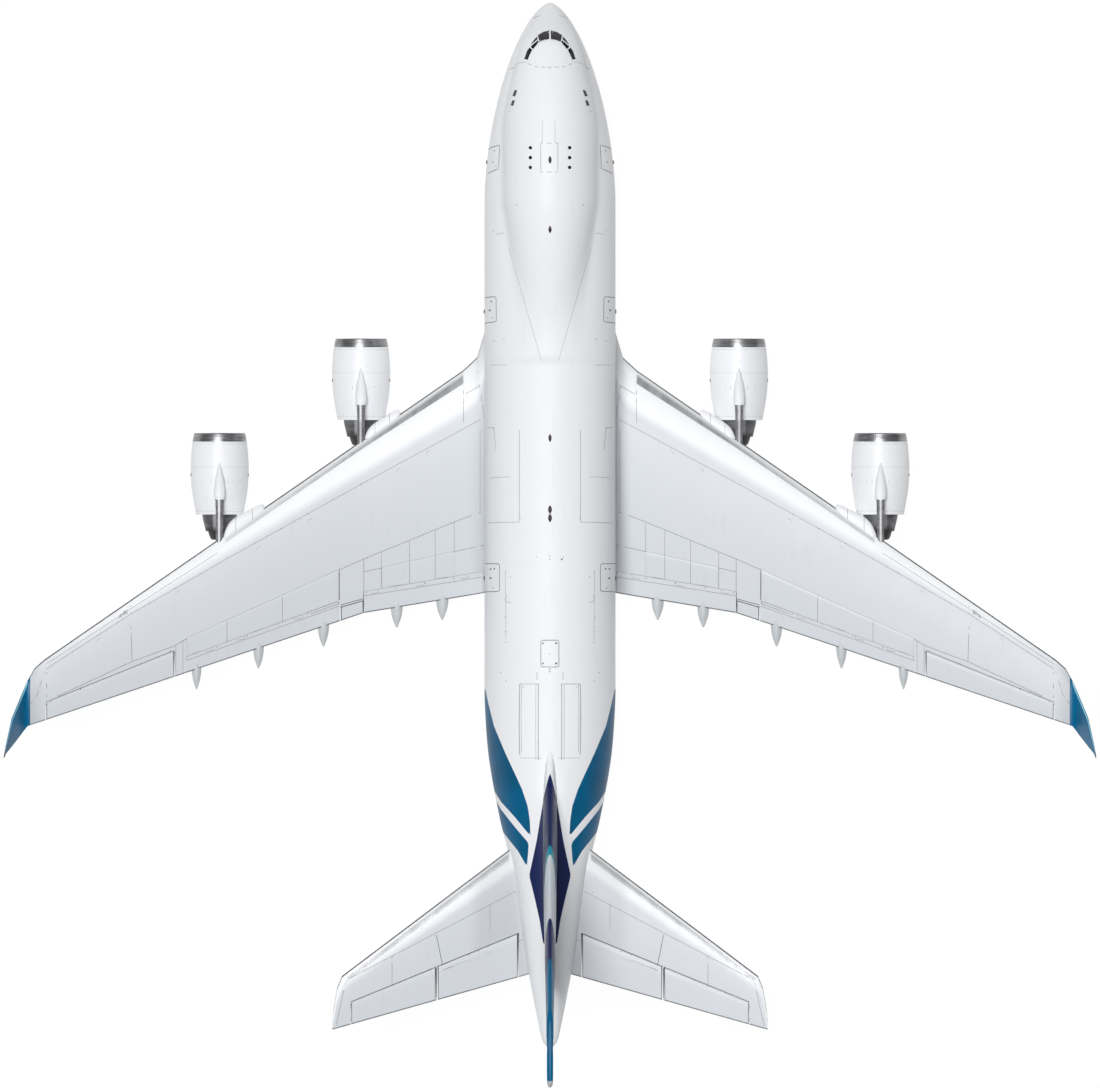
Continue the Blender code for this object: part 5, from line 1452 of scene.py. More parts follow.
def winglet():
    tip = WING.stations[-1]
    base = (WING.skin(tip, 0.0, 1.0) + WING.skin(tip, 0.0, -1.0)) / 2.0
    rings, chord_share = [], []
    steps = 18
    cs = [0.5 * (1.0 - math.cos(math.pi * k / steps)) for k in range(steps + 1)]
    for i in range(41):
        where = i / 8.0
        k = min(int(where), 4)
        t = where - k
        x, rise, front, back, cant, ratio = (lerp(a, b, t) for a, b in zip(WINGLET_ROWS[k], WINGLET_ROWS[k + 1]))
        chord = back - front
        tilt = math.radians(cant)
        normal = Vector((-math.sin(tilt), 0.0, math.cos(tilt)))
        ring = []
        for c, side in [(c, 1.0) for c in cs] + [(c, -1.0) for c in cs[:0:-1]]:
            ring.append(at(x, lerp(front, back, c), base + rise) + normal * (half_thickness(ratio, c) * chord * side))
            chord_share.append(c * chord)
        rings.append(ring)
    blade = loft("winglet_blade_left", rings, 40.0)
    attribute(blade, "from_edge", chord_share)
    finish = Finish("teal_gloss")
    from_edge = finish.read("from_edge")
    # a pale cyan line of painted highlight just behind the leading edge
    edge = from_edge.rise(0.010, 0.022) * (1.0 - from_edge.rise(0.045, 0.075))
    top = finish.axis("Z").rise(4.38, 4.44)
    paint = finish.mix(finish.noise(1.2).rise(0.3, 0.7), (0.001, 0.145, 0.31), (0.001, 0.115, 0.25))
    paint = finish.mix(edge, paint, (0.30, 0.66, 0.80))
    paint = finish.mix(top, paint, (0.012, 0.013, 0.015))
    gloss = finish.done(paint, finish.noise(3.0) * 0.1 + 0.34, 0.0, finish.noise(1.5) + finish.noise(150.0) * 0.04,
                        0.0, 0.002, 0.12)
    fit(blade, "airframe", gloss, "winglet_left")


winglet()


# Engine cowls
# Round painted barrels around each fan with a bare metal lip riveted on the front and a seam where the
# two cowl halves latch together.
ENGINE_INNER = (4.733, 8.405, 1.22)
ENGINE_OUTER = (8.275, 10.772, 1.57)
COWL_OUTER = [(0.0, 0.62), (0.03, 0.645), (0.215, 0.68), (0.55, 0.715), (0.9, 0.73), (1.25, 0.714), (1.5, 0.688),
              (2.04, 0.591)]
COWL_INNER = [(0.05, 0.597), (0.3, 0.575), (0.6, 0.612), (1.62, 0.612), (2.04, 0.577)]
LIP_LENGTH = 0.215
SPIN = Vector((0.0, 1.0, 0.0))


def turned(name, profile, centre, count=96, closed=True, smooth=35.0):
    """A turned piece from a profile of (distance aft of the lip, radius)."""
    rings = [circle(centre + SPIN * a, SPIN, r, count) for a, r in profile]
    return loft(name, rings, smooth, closed)


def cowl_profile(points, start, end, count):
    return [(a, flowing(points, a)) for a in [lerp(start, end, k / count) for k in range(count + 1)]]


def brushed(name, dark, light, rough=0.22, metallic=1.0, scale=3.0, stretch=(1.0, 1.0, 1.0)):
    finish = Finish(name)
    tone = finish.mix(finish.noise(scale, stretch, 4.0).rise(0.3, 0.7), dark, light)
    return finish.done(tone, finish.noise(scale * 2.0, stretch) * 0.16 + rough, metallic,
                       finish.noise(180.0, detail=1.0), 0.0, 0.0004)


LIP_METAL = brushed("lip_metal", (0.19, 0.19, 0.20), (0.32, 0.32, 0.33), 0.22, 0.75, 2.0, (1.0, 6.0, 1.0))
COWL_PAINT = panel_paint("cowl_white_gloss", WHITE, 0.10)


def around_lip():
    """The lip's round nose, from the inner wall over the front to the outer wall."""
    inner = [(a, flowing(COWL_INNER, a)) for a in (LIP_LENGTH, 0.17, 0.13, 0.09)]
    nose = []
    for k in range(13):
        t = math.radians(lerp(-75.0, 80.0, k / 12.0))
        nose.append((0.026 - 0.026 * math.cos(t), 0.6205 + 0.026 * math.sin(t)))
    outer = [(a, flowing(COWL_OUTER, a)) for a in (0.05, 0.09, 0.13, 0.17, LIP_LENGTH)]
    return inner + nose + outer


def turned_dot(start, out, levels, count=12):
    """A small turned head standing on a skin, from (height, radius) levels."""
    return skin_of_rings([circle(start + out * d, out, r, count) for d, r in levels])


def cowl(label, x, lip, z):
    centre = at(x, lip, z)
    ring = turned("inlet_lip_%s_left" % label, around_lip() + [(LIP_LENGTH, 0.64)], centre)
    fit(ring, "airframe", LIP_METAL)
    outer = cowl_profile(COWL_OUTER, LIP_LENGTH + 0.006, 2.04, 34)
    inner = cowl_profile(COWL_INNER, 2.04, LIP_LENGTH + 0.006, 26)
    barrel = turned("cowl_barrel_%s_left" % label, outer + [(2.043, 0.584)] + inner, centre)
    fit(barrel, "airframe", COWL_PAINT, "cowl_%s_left" % label)

    def cowl_path(stops):
        points, normals = [], []
        for (a0, t0), (a1, t1) in zip(stops, stops[1:]):
            count = max(int(max(abs(a1 - a0) / 0.1, abs(t1 - t0) / 0.1)), 1)
            for k in range(count + (1 if (a1, t1) == stops[-1] else 0)):
                a, t = lerp(a0, a1, k / count), lerp(t0, t1, k / count)
                out = Vector((math.sin(t), 0.0, math.cos(t)))
                points.append(centre + SPIN * a + out * flowing(COWL_OUTER, a))
                normals.append(out)
        return points, normals

    lines = [ribbon(*cowl_path([(a, 0.12), (a, 2.0 * math.pi - 0.12)]), width)
             for a, width in ((0.275, 0.003), (0.86, 0.003), (1.96, 0.004))]
    lines.append(ribbon(*cowl_path([(0.22, math.pi), (1.96, math.pi)]), 0.012))
    for t in (1.9, -1.9, 2.5, -2.5):
        lines.append(ribbon(*cowl_path([(0.86, t), (1.96, t)]), 0.006))
    for a, t in ((1.21, -0.5), (1.21, -0.3), (1.26, -0.3), (1.21, 0.3), (1.26, 0.3), (1.21, 0.62), (1.9, -0.55),
                 (1.9, -0.85), (1.9, 0.35), (1.9, 0.8), (0.56, 0.02), (1.21, -0.8)):
        lines.append(ribbon(*cowl_path([(a, t - 0.012), (a, t + 0.012)]), 0.016))
    fit(gather("cowl_joints_%s_left" % label, lines), "airframe", SEAM_GREY)
    rows = [cowl_path([(a, 0.15), (a, 2.0 * math.pi - 0.15)]) for a in (0.235, 0.83, 1.93)]
    fit(fasteners("cowl_fasteners_%s_left" % label, rows, 0.085, 0.005), "airframe", FASTENER_STEEL)
    dots = []
    for t in (1.42, -1.42):
        out = Vector((math.sin(t), 0.0, math.cos(t)))
        start = centre + SPIN * 1.045 + out * (flowing(COWL_OUTER, 1.05) - 0.012)
        dots.append(turned_dot(start, out, ((0.0, 0.045), (0.016, 0.043), (0.021, 0.03))))
    fit(gather("cowl_latches_%s_left" % label, dots), "airframe", LATCH_RED)


finish = Finish("latch_red")
LATCH_RED = finish.done(finish.mix(finish.noise(20.0), (0.12, 0.012, 0.01), (0.2, 0.03, 0.02)),
                        finish.noise(30.0) * 0.2 + 0.35, 0.0, finish.noise(200.0))
cowl("inner", *ENGINE_INNER)
cowl("outer", *ENGINE_OUTER)


# Engine cores
# Heat-stained metal cones behind each fan, with guide vanes that hold the core in the duct, an open
# exhaust nozzle and a pointed plug.
CORE_OUTER = [(0.882, 0.21), (0.95, 0.25), (1.10, 0.31), (1.6, 0.425), (2.04, 0.437), (2.46, 0.35)]


def copies_in_a_ring():
    """Copies of a piece modelled at the origin, turned evenly about an axis and set around a centre."""
    maker = Maker("copies_in_a_ring", {"Count": 'Int', "Axis": 'Vector', "Centre": 'Vector', "Material": 'Material'})
    spots = maker.add("GeometryNodeMeshLine", {"mode": 'OFFSET'},
                      {"Count": maker.given["Count"], "Start Location": maker.given["Centre"],
                       "Offset": (0.0, 0.0, 0.0)})
    index = maker.add("GeometryNodeInputIndex", {}, {})
    share = maker.add("ShaderNodeMath", {"operation": 'DIVIDE'}, {0: index, 1: maker.given["Count"]})
    angle = maker.add("ShaderNodeMath", {"operation": 'MULTIPLY'}, {0: share, 1: 2.0 * math.pi})
    turn = maker.add("FunctionNodeAxisAngleToRotation", {}, {"Axis": maker.given["Axis"], "Angle": angle})
    maker.close(maker.add("GeometryNodeInstanceOnPoints", {},
                          {"Points": spots, "Instance": maker.given["Geometry"], "Rotation": turn}))
    return maker


RING = copies_in_a_ring()


def vane():
    """One guide vane, from the core out to the duct's wall, about the engine's axis."""
    rings = []
    for r, lean in ((0.235, 0.0), (0.32, 0.01), (0.40, 0.02), (0.5, 0.032), (0.606, 0.045)):
        ring = []
        for a, thick in ((0.955, 0.0), (0.97, 0.005), (0.985, 0.007), (1.04, 0.008), (1.07, 0.005), (1.09, 0.0)):
            for side in ((1.0, -1.0) if thick else (0.0,)):
                turn = (lean + (a - 1.02) * 0.315) / max(r, 0.3) + side * thick / r
                ring.append(SPIN * a + Vector((r * math.sin(turn), 0.0, r * math.cos(turn))))
        rings.append([ring[i] for i in (0, 1, 3, 5, 7, 9, 8, 6, 4, 2)])
    return skin_of_rings(rings)


def core(label, x, lip, z):
    centre = at(x, lip, z)
    skin = cowl_profile(CORE_OUTER, 0.882, 2.46, 40)
    nozzle = [(2.46, 0.335), (2.455, 0.325), (2.40, 0.318), (2.30, 0.316), (2.30, 0.296), (2.40, 0.295),
              (2.46, 0.291), (2.52, 0.276), (2.58, 0.256), (2.63, 0.235), (2.67, 0.205), (2.68, 0.10)]
    body = turned("core_body_%s_left" % label, [(0.80, 0.05), (0.882, 0.05)] + skin + nozzle, centre, 72, False, 40.0)
    finish = Finish("core_metal_" + label)
    aft = finish.axis("Y")
    rear = aft.rise(lip + NOSE_Y + 2.30, lip + NOSE_Y + 2.47)
    stain = finish.noise(2.5, (1.0, 2.0, 1.0), 4.0).rise(0.3, 0.72)
    tone = finish.mix(stain, (0.07, 0.07, 0.075), (0.19, 0.19, 0.20))
    # a pale line along the core, a little outboard of its middle, is a painted highlight
    strip = 1.0 - (finish.axis("X").size() - (x + 0.10)).size().rise(0.04, 0.09)
    tone = finish.mix(strip * 0.55, tone, (0.55, 0.55, 0.56))
    tone = finish.mix(rear, tone, (0.05, 0.048, 0.046))
    metal = finish.done(tone, finish.noise(6.0) * 0.2 + 0.4, 0.4, finish.noise(160.0), 0.0, 0.0005)
    fit(body, "airframe", metal, "core_%s_left" % label)
    vanes = RING.make(gather("guide_vanes_%s_left" % label, [vane()], 40.0),
                      {"Count": 30, "Axis": tuple(SPIN), "Centre": tuple(centre), "Material": VANE_METAL})
    fit(vanes, "airframe", VANE_METAL)


VANE_METAL = brushed("vane_metal", (0.32, 0.32, 0.33), (0.5, 0.5, 0.51), 0.3, 0.9, 4.0)
core("inner", *ENGINE_INNER)
core("outer", *ENGINE_OUTER)


# Fans
# Wide swept titanium blades stand on a hub behind a dark rounded spinner, and turn inside the cowl.
FAN_BLADES = 16
FAN_TIP = 0.600
FAN_HUB = 0.20


def blade():
    """One fan blade, twisted from root to tip, about the engine's axis."""
    rings = []
    first = 2.0 * math.pi * 0.19 / FAN_BLADES
    for i in range(17):
        share = i / 16.0
        r = lerp(FAN_HUB - 0.01, FAN_TIP, share)
        stagger = lerp(0.35, 1.02, share)
        chord = lerp(0.135, 0.20, math.sin(math.pi * min(share * 0.75 + 0.15, 1.0)))
        ring = []
        for c, thick in ((0.0, 0.0), (0.1, 0.75), (0.25, 1.0), (0.45, 1.0), (0.6, 0.9), (0.85, 0.5), (1.0, 0.0)):
            for side in ((1.0, -1.0) if thick else (0.0,)):
                along = (c - 0.5) * chord
                bow = 0.012 * math.sin(math.pi * c)
                a = 0.80 + min(max(along * math.cos(stagger), -0.06), 0.06)
                turn = first + (along * math.sin(stagger) + bow + side * thick * 0.0045) / r
                ring.append(SPIN * a + Vector((r * math.sin(turn), 0.0, r * math.cos(turn))))
        rings.append([ring[j] for j in (0, 1, 3, 5, 7, 9, 11, 10, 8, 6, 4, 2)])
    return skin_of_rings(rings)


def fan(label, x, lip, z):
    centre = at(x, lip, z)
    spinner = [(0.42 + 0.32 * (k / 14.0) ** 1.6, 0.197 * math.sin(math.pi / 2.0 * (k / 14.0)) + 0.003)
               for k in range(15)]
    profile = spinner + [(0.74, FAN_HUB), (0.86, FAN_HUB), (0.86, 0.0515), (0.79, 0.0515)]
    hub = gather("fan_hub_%s_left" % label,
                 [skin_of_rings([circle(centre + SPIN * a, SPIN, r, 48) for a, r in profile])], 35.0)
    blades = RING.make(gather("fan_blades_%s_left" % label, [blade()], 50.0),
                       {"Count": FAN_BLADES, "Axis": tuple(SPIN), "Centre": tuple(centre), "Material": BLADE_METAL})
    body = "fan_%s_left_body" % label
    fit(blades, body, BLADE_METAL, "fan_%s_left" % label)
    fit(hub, body, SPINNER_GREY)


BLADE_METAL = brushed("blade_titanium", (0.36, 0.36, 0.38), (0.55, 0.55, 0.57), 0.25, 1.0, 3.0)
SPINNER_GREY = brushed("spinner_grey", (0.10, 0.105, 0.11), (0.17, 0.175, 0.18), 0.35, 0.2, 3.0)
fan("inner", *ENGINE_INNER)
fan("outer", *ENGINE_OUTER)


# Pylons
# Streamlined struts that carry each engine from the wing, white over the cowl and bare heat-resisting
# metal behind it.
def pylon(label, x, lip, level):
    front_edge = WING.edges(x)[0] - lip
    edge_level = sum(WING.heights(x, lip + front_edge)) / 2.0 - level
    rear = front_edge + 1.35
    rear_level = WING.heights(x, lip + rear)[1] - level
    rows = [(0.74, 0.015, 0.66, 0.745), (0.92, 0.07, 0.66, 0.79), (1.25, 0.125, 0.66, 0.855),
            (1.44, 0.14, 0.64, 0.885), (1.46, 0.142, 0.40, 0.888), (1.62, 0.14, 0.40, 0.90),
            (1.70, 0.10, 0.40, 0.907), (2.04, 0.092, 0.40, 0.93),
            (front_edge, 0.09, 0.30, edge_level + 0.07), (front_edge + 0.2, 0.09, 0.36, edge_level + 0.07),
            (lerp(front_edge, rear, 0.5), 0.09, lerp(0.36, rear_level, 0.45), rear_level + 0.08),
            (rear, 0.02, rear_level - 0.02, rear_level + 0.06)]
    rings = []
    for (a0, h0, b0, t0), (a1, h1, b1, t1) in zip(rows, rows[1:]):
        count = max(int((a1 - a0) / 0.05), 1)
        for k in range(count + (1 if (a1, h1) == (rows[-1][0], rows[-1][1]) else 0)):
            t = k / count
            a, half, bottom, top = lerp(a0, a1, t), lerp(h0, h1, smoothstep(t)), lerp(b0, b1, t), lerp(t0, t1, t)
            shoulder = lerp(top, bottom, 0.35) if top - bottom < 0.2 else top - 0.06
            ring = [(half * 0.8, bottom), (half, lerp(bottom, shoulder, 0.3)), (half, shoulder)]
            ring += [(half * math.cos(q), lerp(shoulder, top, math.sin(q)))
                     for q in [math.radians(d) for d in (20, 40, 60, 75, 90, 105, 120, 140, 160)]]
            ring += [(-half, shoulder), (-half, lerp(bottom, shoulder, 0.3)), (-half * 0.8, bottom)]
            rings.append([at(x + dx, lip + a, level + dz) for dx, dz in ring])
    strut = loft("pylon_strut_%s_left" % label, rings, 45.0)
    finish = Finish("pylon_finish_" + label)
    aft = finish.axis("Y")
    split = lip + NOSE_Y + 1.66
    metal = aft.rise(split, split + 0.012)
    white = weathered(finish, (0.74, 0.755, 0.77), 0.2)
    bare = finish.mix(finish.noise(3.0, (1.0, 3.0, 1.0), 4.0).rise(0.3, 0.7), (0.14, 0.14, 0.145), (0.24, 0.24, 0.25))
    # a pale line along the bare metal's crest is a painted highlight
    crest_highlight = 1.0 - (finish.axis("X").size() - (x + 0.012)).size().rise(0.012, 0.035)
    bare = finish.mix(crest_highlight * 0.7, bare, (0.55, 0.55, 0.56))
    colour = finish.mix(metal, white, bare)
    look = finish.done(colour, finish.noise(4.0) * 0.15 + 0.4, metal * 0.25, finish.noise(150.0), 0.0, 0.0005)
    fit(strut, "airframe", look, "pylon_%s_left" % label)


pylon("inner", *ENGINE_INNER)
pylon("outer", *ENGINE_OUTER)


# Tailplane
# A swept tailplane in grey with a bare strip behind its leading edge, which a painted highlight pales, and two
# elevators a side on its rear spar.
STABILIZER_PLAN = [(0.25, 20.62, 24.24, 0.10), (1.075, 21.238, 24.47, 0.10), (5.20, 24.35, 25.63, 0.085),
                   (5.325, 24.65, 25.665, 0.08), (5.425, 25.25, 25.69, 0.08), (5.45, 25.55, 25.70, 0.07)]
ELEVATOR_INNER = (0.79, 2.826, 23.345, 24.178)
ELEVATOR_OUTER = (2.846, 4.985, 24.186, 25.06)
ELEVATOR_TRAVEL = 22.0
TAIL_EDGE_LINE = [(0, 829.8), (40, 859.8), (205, 983), (230, 1010)]


def tailplane():
    surface = Surface(STABILIZER_PLAN, lambda u: 3.35 + 0.125 * (u - 0.5), 0.0, wing_place)
    tools = [moving_surface("elevator_inner_left", surface, ELEVATOR_INNER, ELEVATOR_TRAVEL, 0.008,
                            "elevator_inner_left_body", CONTROL_PAINT),
             moving_surface("elevator_outer_left", surface, ELEVATOR_OUTER, ELEVATOR_TRAVEL, 0.008,
                            "elevator_outer_left_body", CONTROL_PAINT)]
    skin = surface.solid("tailplane_skin_left", 30, 0.25)
    for tool in tools:
        combine(skin, tool)
    settle(skin)
    edge_marks(skin, surface, TAIL_EDGE_LINE)
    paint = swept_paint("tail_grey_satin", (2.5, 20.0, 31.0), (1.0, 5.1), (3.2, 5.5),
                        ((0.36, 0.365, 0.375), (0.33, 0.335, 0.345)))
    fit(skin, "airframe", paint, "stabilizer_left")
    lines, bold = [], []
    for side in (1.0, -1.0):
        for stops in ([(34.1, 891.3), (114.4, 933.4), (199.4, 977.8)], [(129, 928), (114.4, 933.4)],
                      [(26.4, 939.5), (107.5, 970.4)],
                      [(199.4, 1004.5), (199.4, 1022)], [(46.3, 877), (42.5, 893)], [(204.7, 983), (214, 1026)],
                      [(71.5, 950.2), (81.5, 954.4), (81.5, 962.2), (71.5, 958.2), (71.5, 950.2)],
                      [(158, 956), (158, 987)], [(60, 905), (60, 930)]):
            lines.append(skin_line(surface, stops, 0.012, side))
        # dark lines at the gap between the elevators and along their hinges are painted shade for the gaps there
        bold.append(skin_line(surface, [(113.7, 934.9), (107.5, 965.5)], 0.016, side))
        bold.append(skin_line(surface, [(113.44, 969.5), (113.44, 998)], 0.018, side))
        bold += [hinge_shade_line(surface, hinged, 0.020, side) for hinged in (ELEVATOR_INNER, ELEVATOR_OUTER)]
    fit(gather("tailplane_joints_left", lines), "airframe", SEAM_GREY)
    fit(gather("tailplane_gap_seals_left", bold), "airframe", DARK_SEAL_AND_GAP_SHADE)
    rows = [skin_path(surface, stops, side) for side in (1.0, -1.0)
            for stops in ([(36, 893.5), (112, 933.5), (196, 977.6)], [(30, 933.6), (107.5, 965), (196, 1001.2)])]
    fit(fasteners("tailplane_fasteners_left", rows, 0.14, 0.006), "airframe", FASTENER_STEEL)


tailplane()


# Fin and rudders
# A tall swept fin stands in the crown behind a dorsal fillet, with two rudders on its rear spar. It carries
# navy at the foot, a pale swoosh, a navy band and teal up to the tip's grey cap.
FIN_PLAN = [(3.55, 18.5, 24.3, 0.062), (4.28, 18.75, 24.53, 0.062), (4.45, 19.38, 24.615, 0.07),
            (4.75, 19.84, 24.76, 0.074), (9.62, 25.12, 27.06, 0.09), (9.70, 25.42, 27.08, 0.035)]
RUDDER_LOWER = (4.38, 6.90, 23.04, 24.70)
RUDDER_UPPER = (6.92, 9.46, 24.713, 26.386)
RUDDER_TRAVEL = 27.0


TIP_FAIRING_LEVEL = 9.618


def fin_paint(name, end_gap_shade=False):
    finish = Finish(name)
    up = finish.axis("Z")
    aft = finish.axis("Y")
    # each band leans back and climbs the fin towards the rear
    lean = up - (aft - 6.6) * 0.20
    teal = finish.mix(finish.noise(0.8).rise(0.3, 0.7), TEAL_BRIGHT, TEAL)
    colour = finish.mix(lean.rise(5.70, 5.71), NAVY, (0.01, 0.24, 0.34))
    for level, tone in ((5.86, (0.55, 0.60, 0.64)), (7.0, NAVY), (7.72, teal)):
        colour = finish.mix(lean.rise(level, level + 0.015), colour, tone)
    # the navy starts as a narrow point on the fillet's crown
    point = (aft - 5.67) * 0.24
    colour = finish.mix((point * point - finish.axis("X") * finish.axis("X")).rise(0.0, 0.001), WHITE, colour)
    colour = finish.mix(1.0 - aft.rise(5.68, 5.72), colour, WHITE)
    cap = up.rise(9.60, 9.615) * aft.rise(13.37, 13.39)
    colour = finish.mix(cap, colour, (0.33, 0.35, 0.37))
    # painted shade on the rudders' end ribs, for the gaps beside them
    if end_gap_shade:
        colour = finish.mix(finish.read("to_end").rise(0.012, 0.018), (0.03, 0.032, 0.036), colour)
    return finish.done(colour, finish.noise(2.5) * 0.12 + 0.28, 0.0,
                       finish.noise(1.5) + finish.noise(150.0) * 0.04, 0.0, 0.003, 0.12)


def tail_fin():
    surface = Surface(FIN_PLAN, lambda u: 0.0, 0.0, lambda u, s, h: at(h, s, u))
    paint = fin_paint("tail_stripes_gloss")
    ends = fin_paint("rudder_stripes_gloss", True)
    tools = [moving_surface("rudder_lower", surface, RUDDER_LOWER, RUDDER_TRAVEL, 0.008, "rudder_lower_body", ends,
                            False),
             moving_surface("rudder_upper", surface, RUDDER_UPPER, RUDDER_TRAVEL, 0.008, "rudder_upper_body", ends,
                            False)]
    skin = surface.solid("fin_skin", 32, 0.2)
    for tool in tools:
        combine(skin, tool)
    settle(skin)
    fit(skin, "airframe", paint, "fin", False)
    lines = []
    rows = []
    for side in (1.0, -1.0):
        for stops in ([(4.5, 22.35), (9.4, 26.05)], [(5.6, 21.2), (5.6, 23.1)], [(7.4, 23.1), (7.4, 24.4)],
                      [(4.9, 20.5), (9.4, 25.32)]):
            lines.append(ribbon(*skin_path(surface, stops, side, 0.25, lambda p: p), 0.010))
        rows.append(skin_path(surface, [(4.5, 22.29), (9.4, 25.99)], side, 0.25, lambda p: p))
    fit(gather("fin_joints", lines), "airframe", DARK_SEAL_AND_GAP_SHADE, None, False)
    # the fairing along the tip's rear, with the tail lamp's housing at its end
    stops = [(25.55, 0.012), (25.8, 0.058), (26.2, 0.078), (26.6, 0.080), (26.9, 0.076), (27.02, 0.064),
             (27.075, 0.035), (27.085, 0.01)]
    rings = [[at(half * math.cos(t), s, TIP_FAIRING_LEVEL + 0.9 * half * math.sin(t))
              for t in full_turn(28)]
             for s, half in [(s, flowing(stops, s)) for s in ladder(stops[0][0], stops[-1][0], 0.03)]]
    fairing = loft("fin_tip_fairing", rings, 50.0)
    finish = Finish("tip_fairing_gloss")
    tone = finish.mix(finish.noise(0.8).rise(0.3, 0.7), TEAL_BRIGHT, TEAL)
    tone = finish.mix(finish.axis("Y").rise(13.37, 13.39), tone, (0.42, 0.43, 0.45))
    gloss = finish.done(tone, finish.noise(2.5) * 0.12 + 0.3, 0.0, finish.noise(150.0), 0.0, 0.0005, 0.12)
    fit(fairing, "airframe", gloss, None, False)
    fit(fasteners("fin_fasteners", rows, 0.14, 0.006), "airframe", FASTENER_STEEL, None, False)


tail_fin()


# Main and nose landing gear
# Forged struts with a chromed piston, a bogie beam, torque links, braces, a brake bar and hydraulic hoses.
# The main legs are painted light grey, and the nose leg turns in its collar.
TYRE_RADIUS = 0.3113
TYRE_WIDTH = 0.216
MAIN_TWIN = 0.56
NOSE_TWIN = 0.457
BOGIE_HALF = 0.3675
WING_GEAR = (2.75, 12.90)
BODY_GEAR = (0.96, 14.42)
NOSE_GEAR_S = 3.85

GEAR_PAINT = panel_paint("gear_grey_gloss", (0.56, 0.575, 0.59), 0.35)
CHROME = brushed("chromed_piston", (0.62, 0.62, 0.63), (0.78, 0.78, 0.79), 0.08, 1.0, 4.0)
finish = Finish("hose_black")
HOSE_BLACK = finish.done(finish.mix(finish.noise(30.0), (0.012, 0.012, 0.013), (0.04, 0.04, 0.042)),
                         finish.noise(40.0) * 0.2 + 0.5, 0.0, finish.noise(260.0))


def cad_gear():
    """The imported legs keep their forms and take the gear's grey paint."""
    for name in ("wing_gear_left", "wing_gear_right", "body_gear_left", "body_gear_right", "nose_leg", "nose_fork"):
        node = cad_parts[name]
        node.data.materials.clear()
        node.data.materials.append(GEAR_PAINT)


def pipe_parts(points, radius, count=10):
    """A hose or rod through points, as a smooth tube."""
    rings = []
    last = len(points) - 1
    for i, point in enumerate(points):
        axis = points[min(i + 1, last)] - points[max(i - 1, 0)]
        rings.append(circle(point, axis, radius, count))
    return skin_of_rings(rings)


def curve_points(stops, steps=8):
    out = []
    for i in range(len(stops) - 1):
        p0, p1, p2, p3 = (stops[max(i - 1, 0)], stops[i], stops[i + 1], stops[min(i + 2, len(stops) - 1)])
        for k in range(steps):
            t = k / steps
            out.append(0.5 * ((2.0 * p1) + (p2 - p0) * t + (2.0 * p0 - 5.0 * p1 + 4.0 * p2 - p3) * t * t
                              + (3.0 * p1 - p0 - 3.0 * p2 + p3) * t ** 3))
    return out + [stops[-1]]


def leg_details():
    for name, x, s, top in (("wing_gear", *WING_GEAR, 1.45), ("body_gear", *BODY_GEAR, 1.10)):
        chrome = [pipe_parts([at(x, s, 0.60), at(x, s, 0.775)], 0.0725, 32)]
        sleeves = []
        for z0, z1, r in ((0.775, 0.83, 0.116), (0.98, 1.03, 0.113), (0.395, 0.45, 0.085)):
            sleeves.append(pipe_parts([at(x, s, z0), at(x, s, z1)], r, 32))
        for station in (s - BOGIE_HALF, s + BOGIE_HALF):
            for dx in (-0.083, 0.076):
                sleeves.append(pipe_parts([at(x + dx, station, TYRE_RADIUS), at(x + dx + 0.007, station, TYRE_RADIUS)],
                                          0.094, 32))
        rod = [at(x + 0.045, s - BOGIE_HALF + 0.08, 0.24), at(x + 0.045, s + BOGIE_HALF - 0.08, 0.24)]
        sleeves.append(pipe_parts(rod, 0.012, 12))
        hoses = []
        for dx, dy in ((0.085, 0.03), (-0.085, 0.03)):
            stops = [at(x + dx * 1.25, s + dy, top - 0.05), at(x + dx * 1.3, s + dy, 0.9),
                     at(x + dx * 1.25, s + dy + 0.06, 0.66), at(x + dx, s + 0.13, 0.46),
                     at(x + dx * 0.8, s + BOGIE_HALF - 0.14, 0.40)]
            hoses.append(pipe_parts(curve_points(stops), 0.009))
            stops = [at(x + dx * 1.1, s - dy, top - 0.05), at(x + dx * 1.2, s - dy, 0.92), at(x + dx, s - 0.12, 0.62),
                     at(x + dx * 0.8, s - BOGIE_HALF + 0.14, 0.40)]
            hoses.append(pipe_parts(curve_points(stops), 0.009))
        fit(gather(name + "_piston_left", chrome, 50.0), "airframe", CHROME)
        fit(gather(name + "_sleeves_left", sleeves, 50.0), "airframe", GEAR_PAINT)
        fit(gather(name + "_hoses_left", hoses, 60.0), "airframe", HOSE_BLACK)
    s = NOSE_GEAR_S
    lamps = [pipe_parts([at(dx, s - 0.115, 0.80), at(dx, s - 0.05, 0.80)], 0.045, 24) for dx in (-0.055, 0.055)]
    fit(gather("nose_taxi_lamps", lamps, 50.0), "airframe", CHROME, None, False)
    rings = [pipe_parts([at(0, s, z0), at(0, s, z1)], r, 32)
             for z0, z1, r in ((0.722, 0.76, 0.094), (0.86, 0.90, 0.092))]
    fit(gather("nose_leg_sleeves", rings, 50.0), "airframe", GEAR_PAINT, None, False)
    hoses = []
    for dx in (0.06, -0.06):
        stops = [at(dx, s + 0.085, 0.70), at(dx * 1.2, s + 0.09, 0.55), at(dx * 1.1, s + 0.06, 0.40)]
        hoses.append(pipe_parts(curve_points(stops), 0.007))
    fit(gather("nose_fork_hoses", hoses, 60.0), "nose_fork_body", HOSE_BLACK, None, False)


cad_gear()
leg_details()


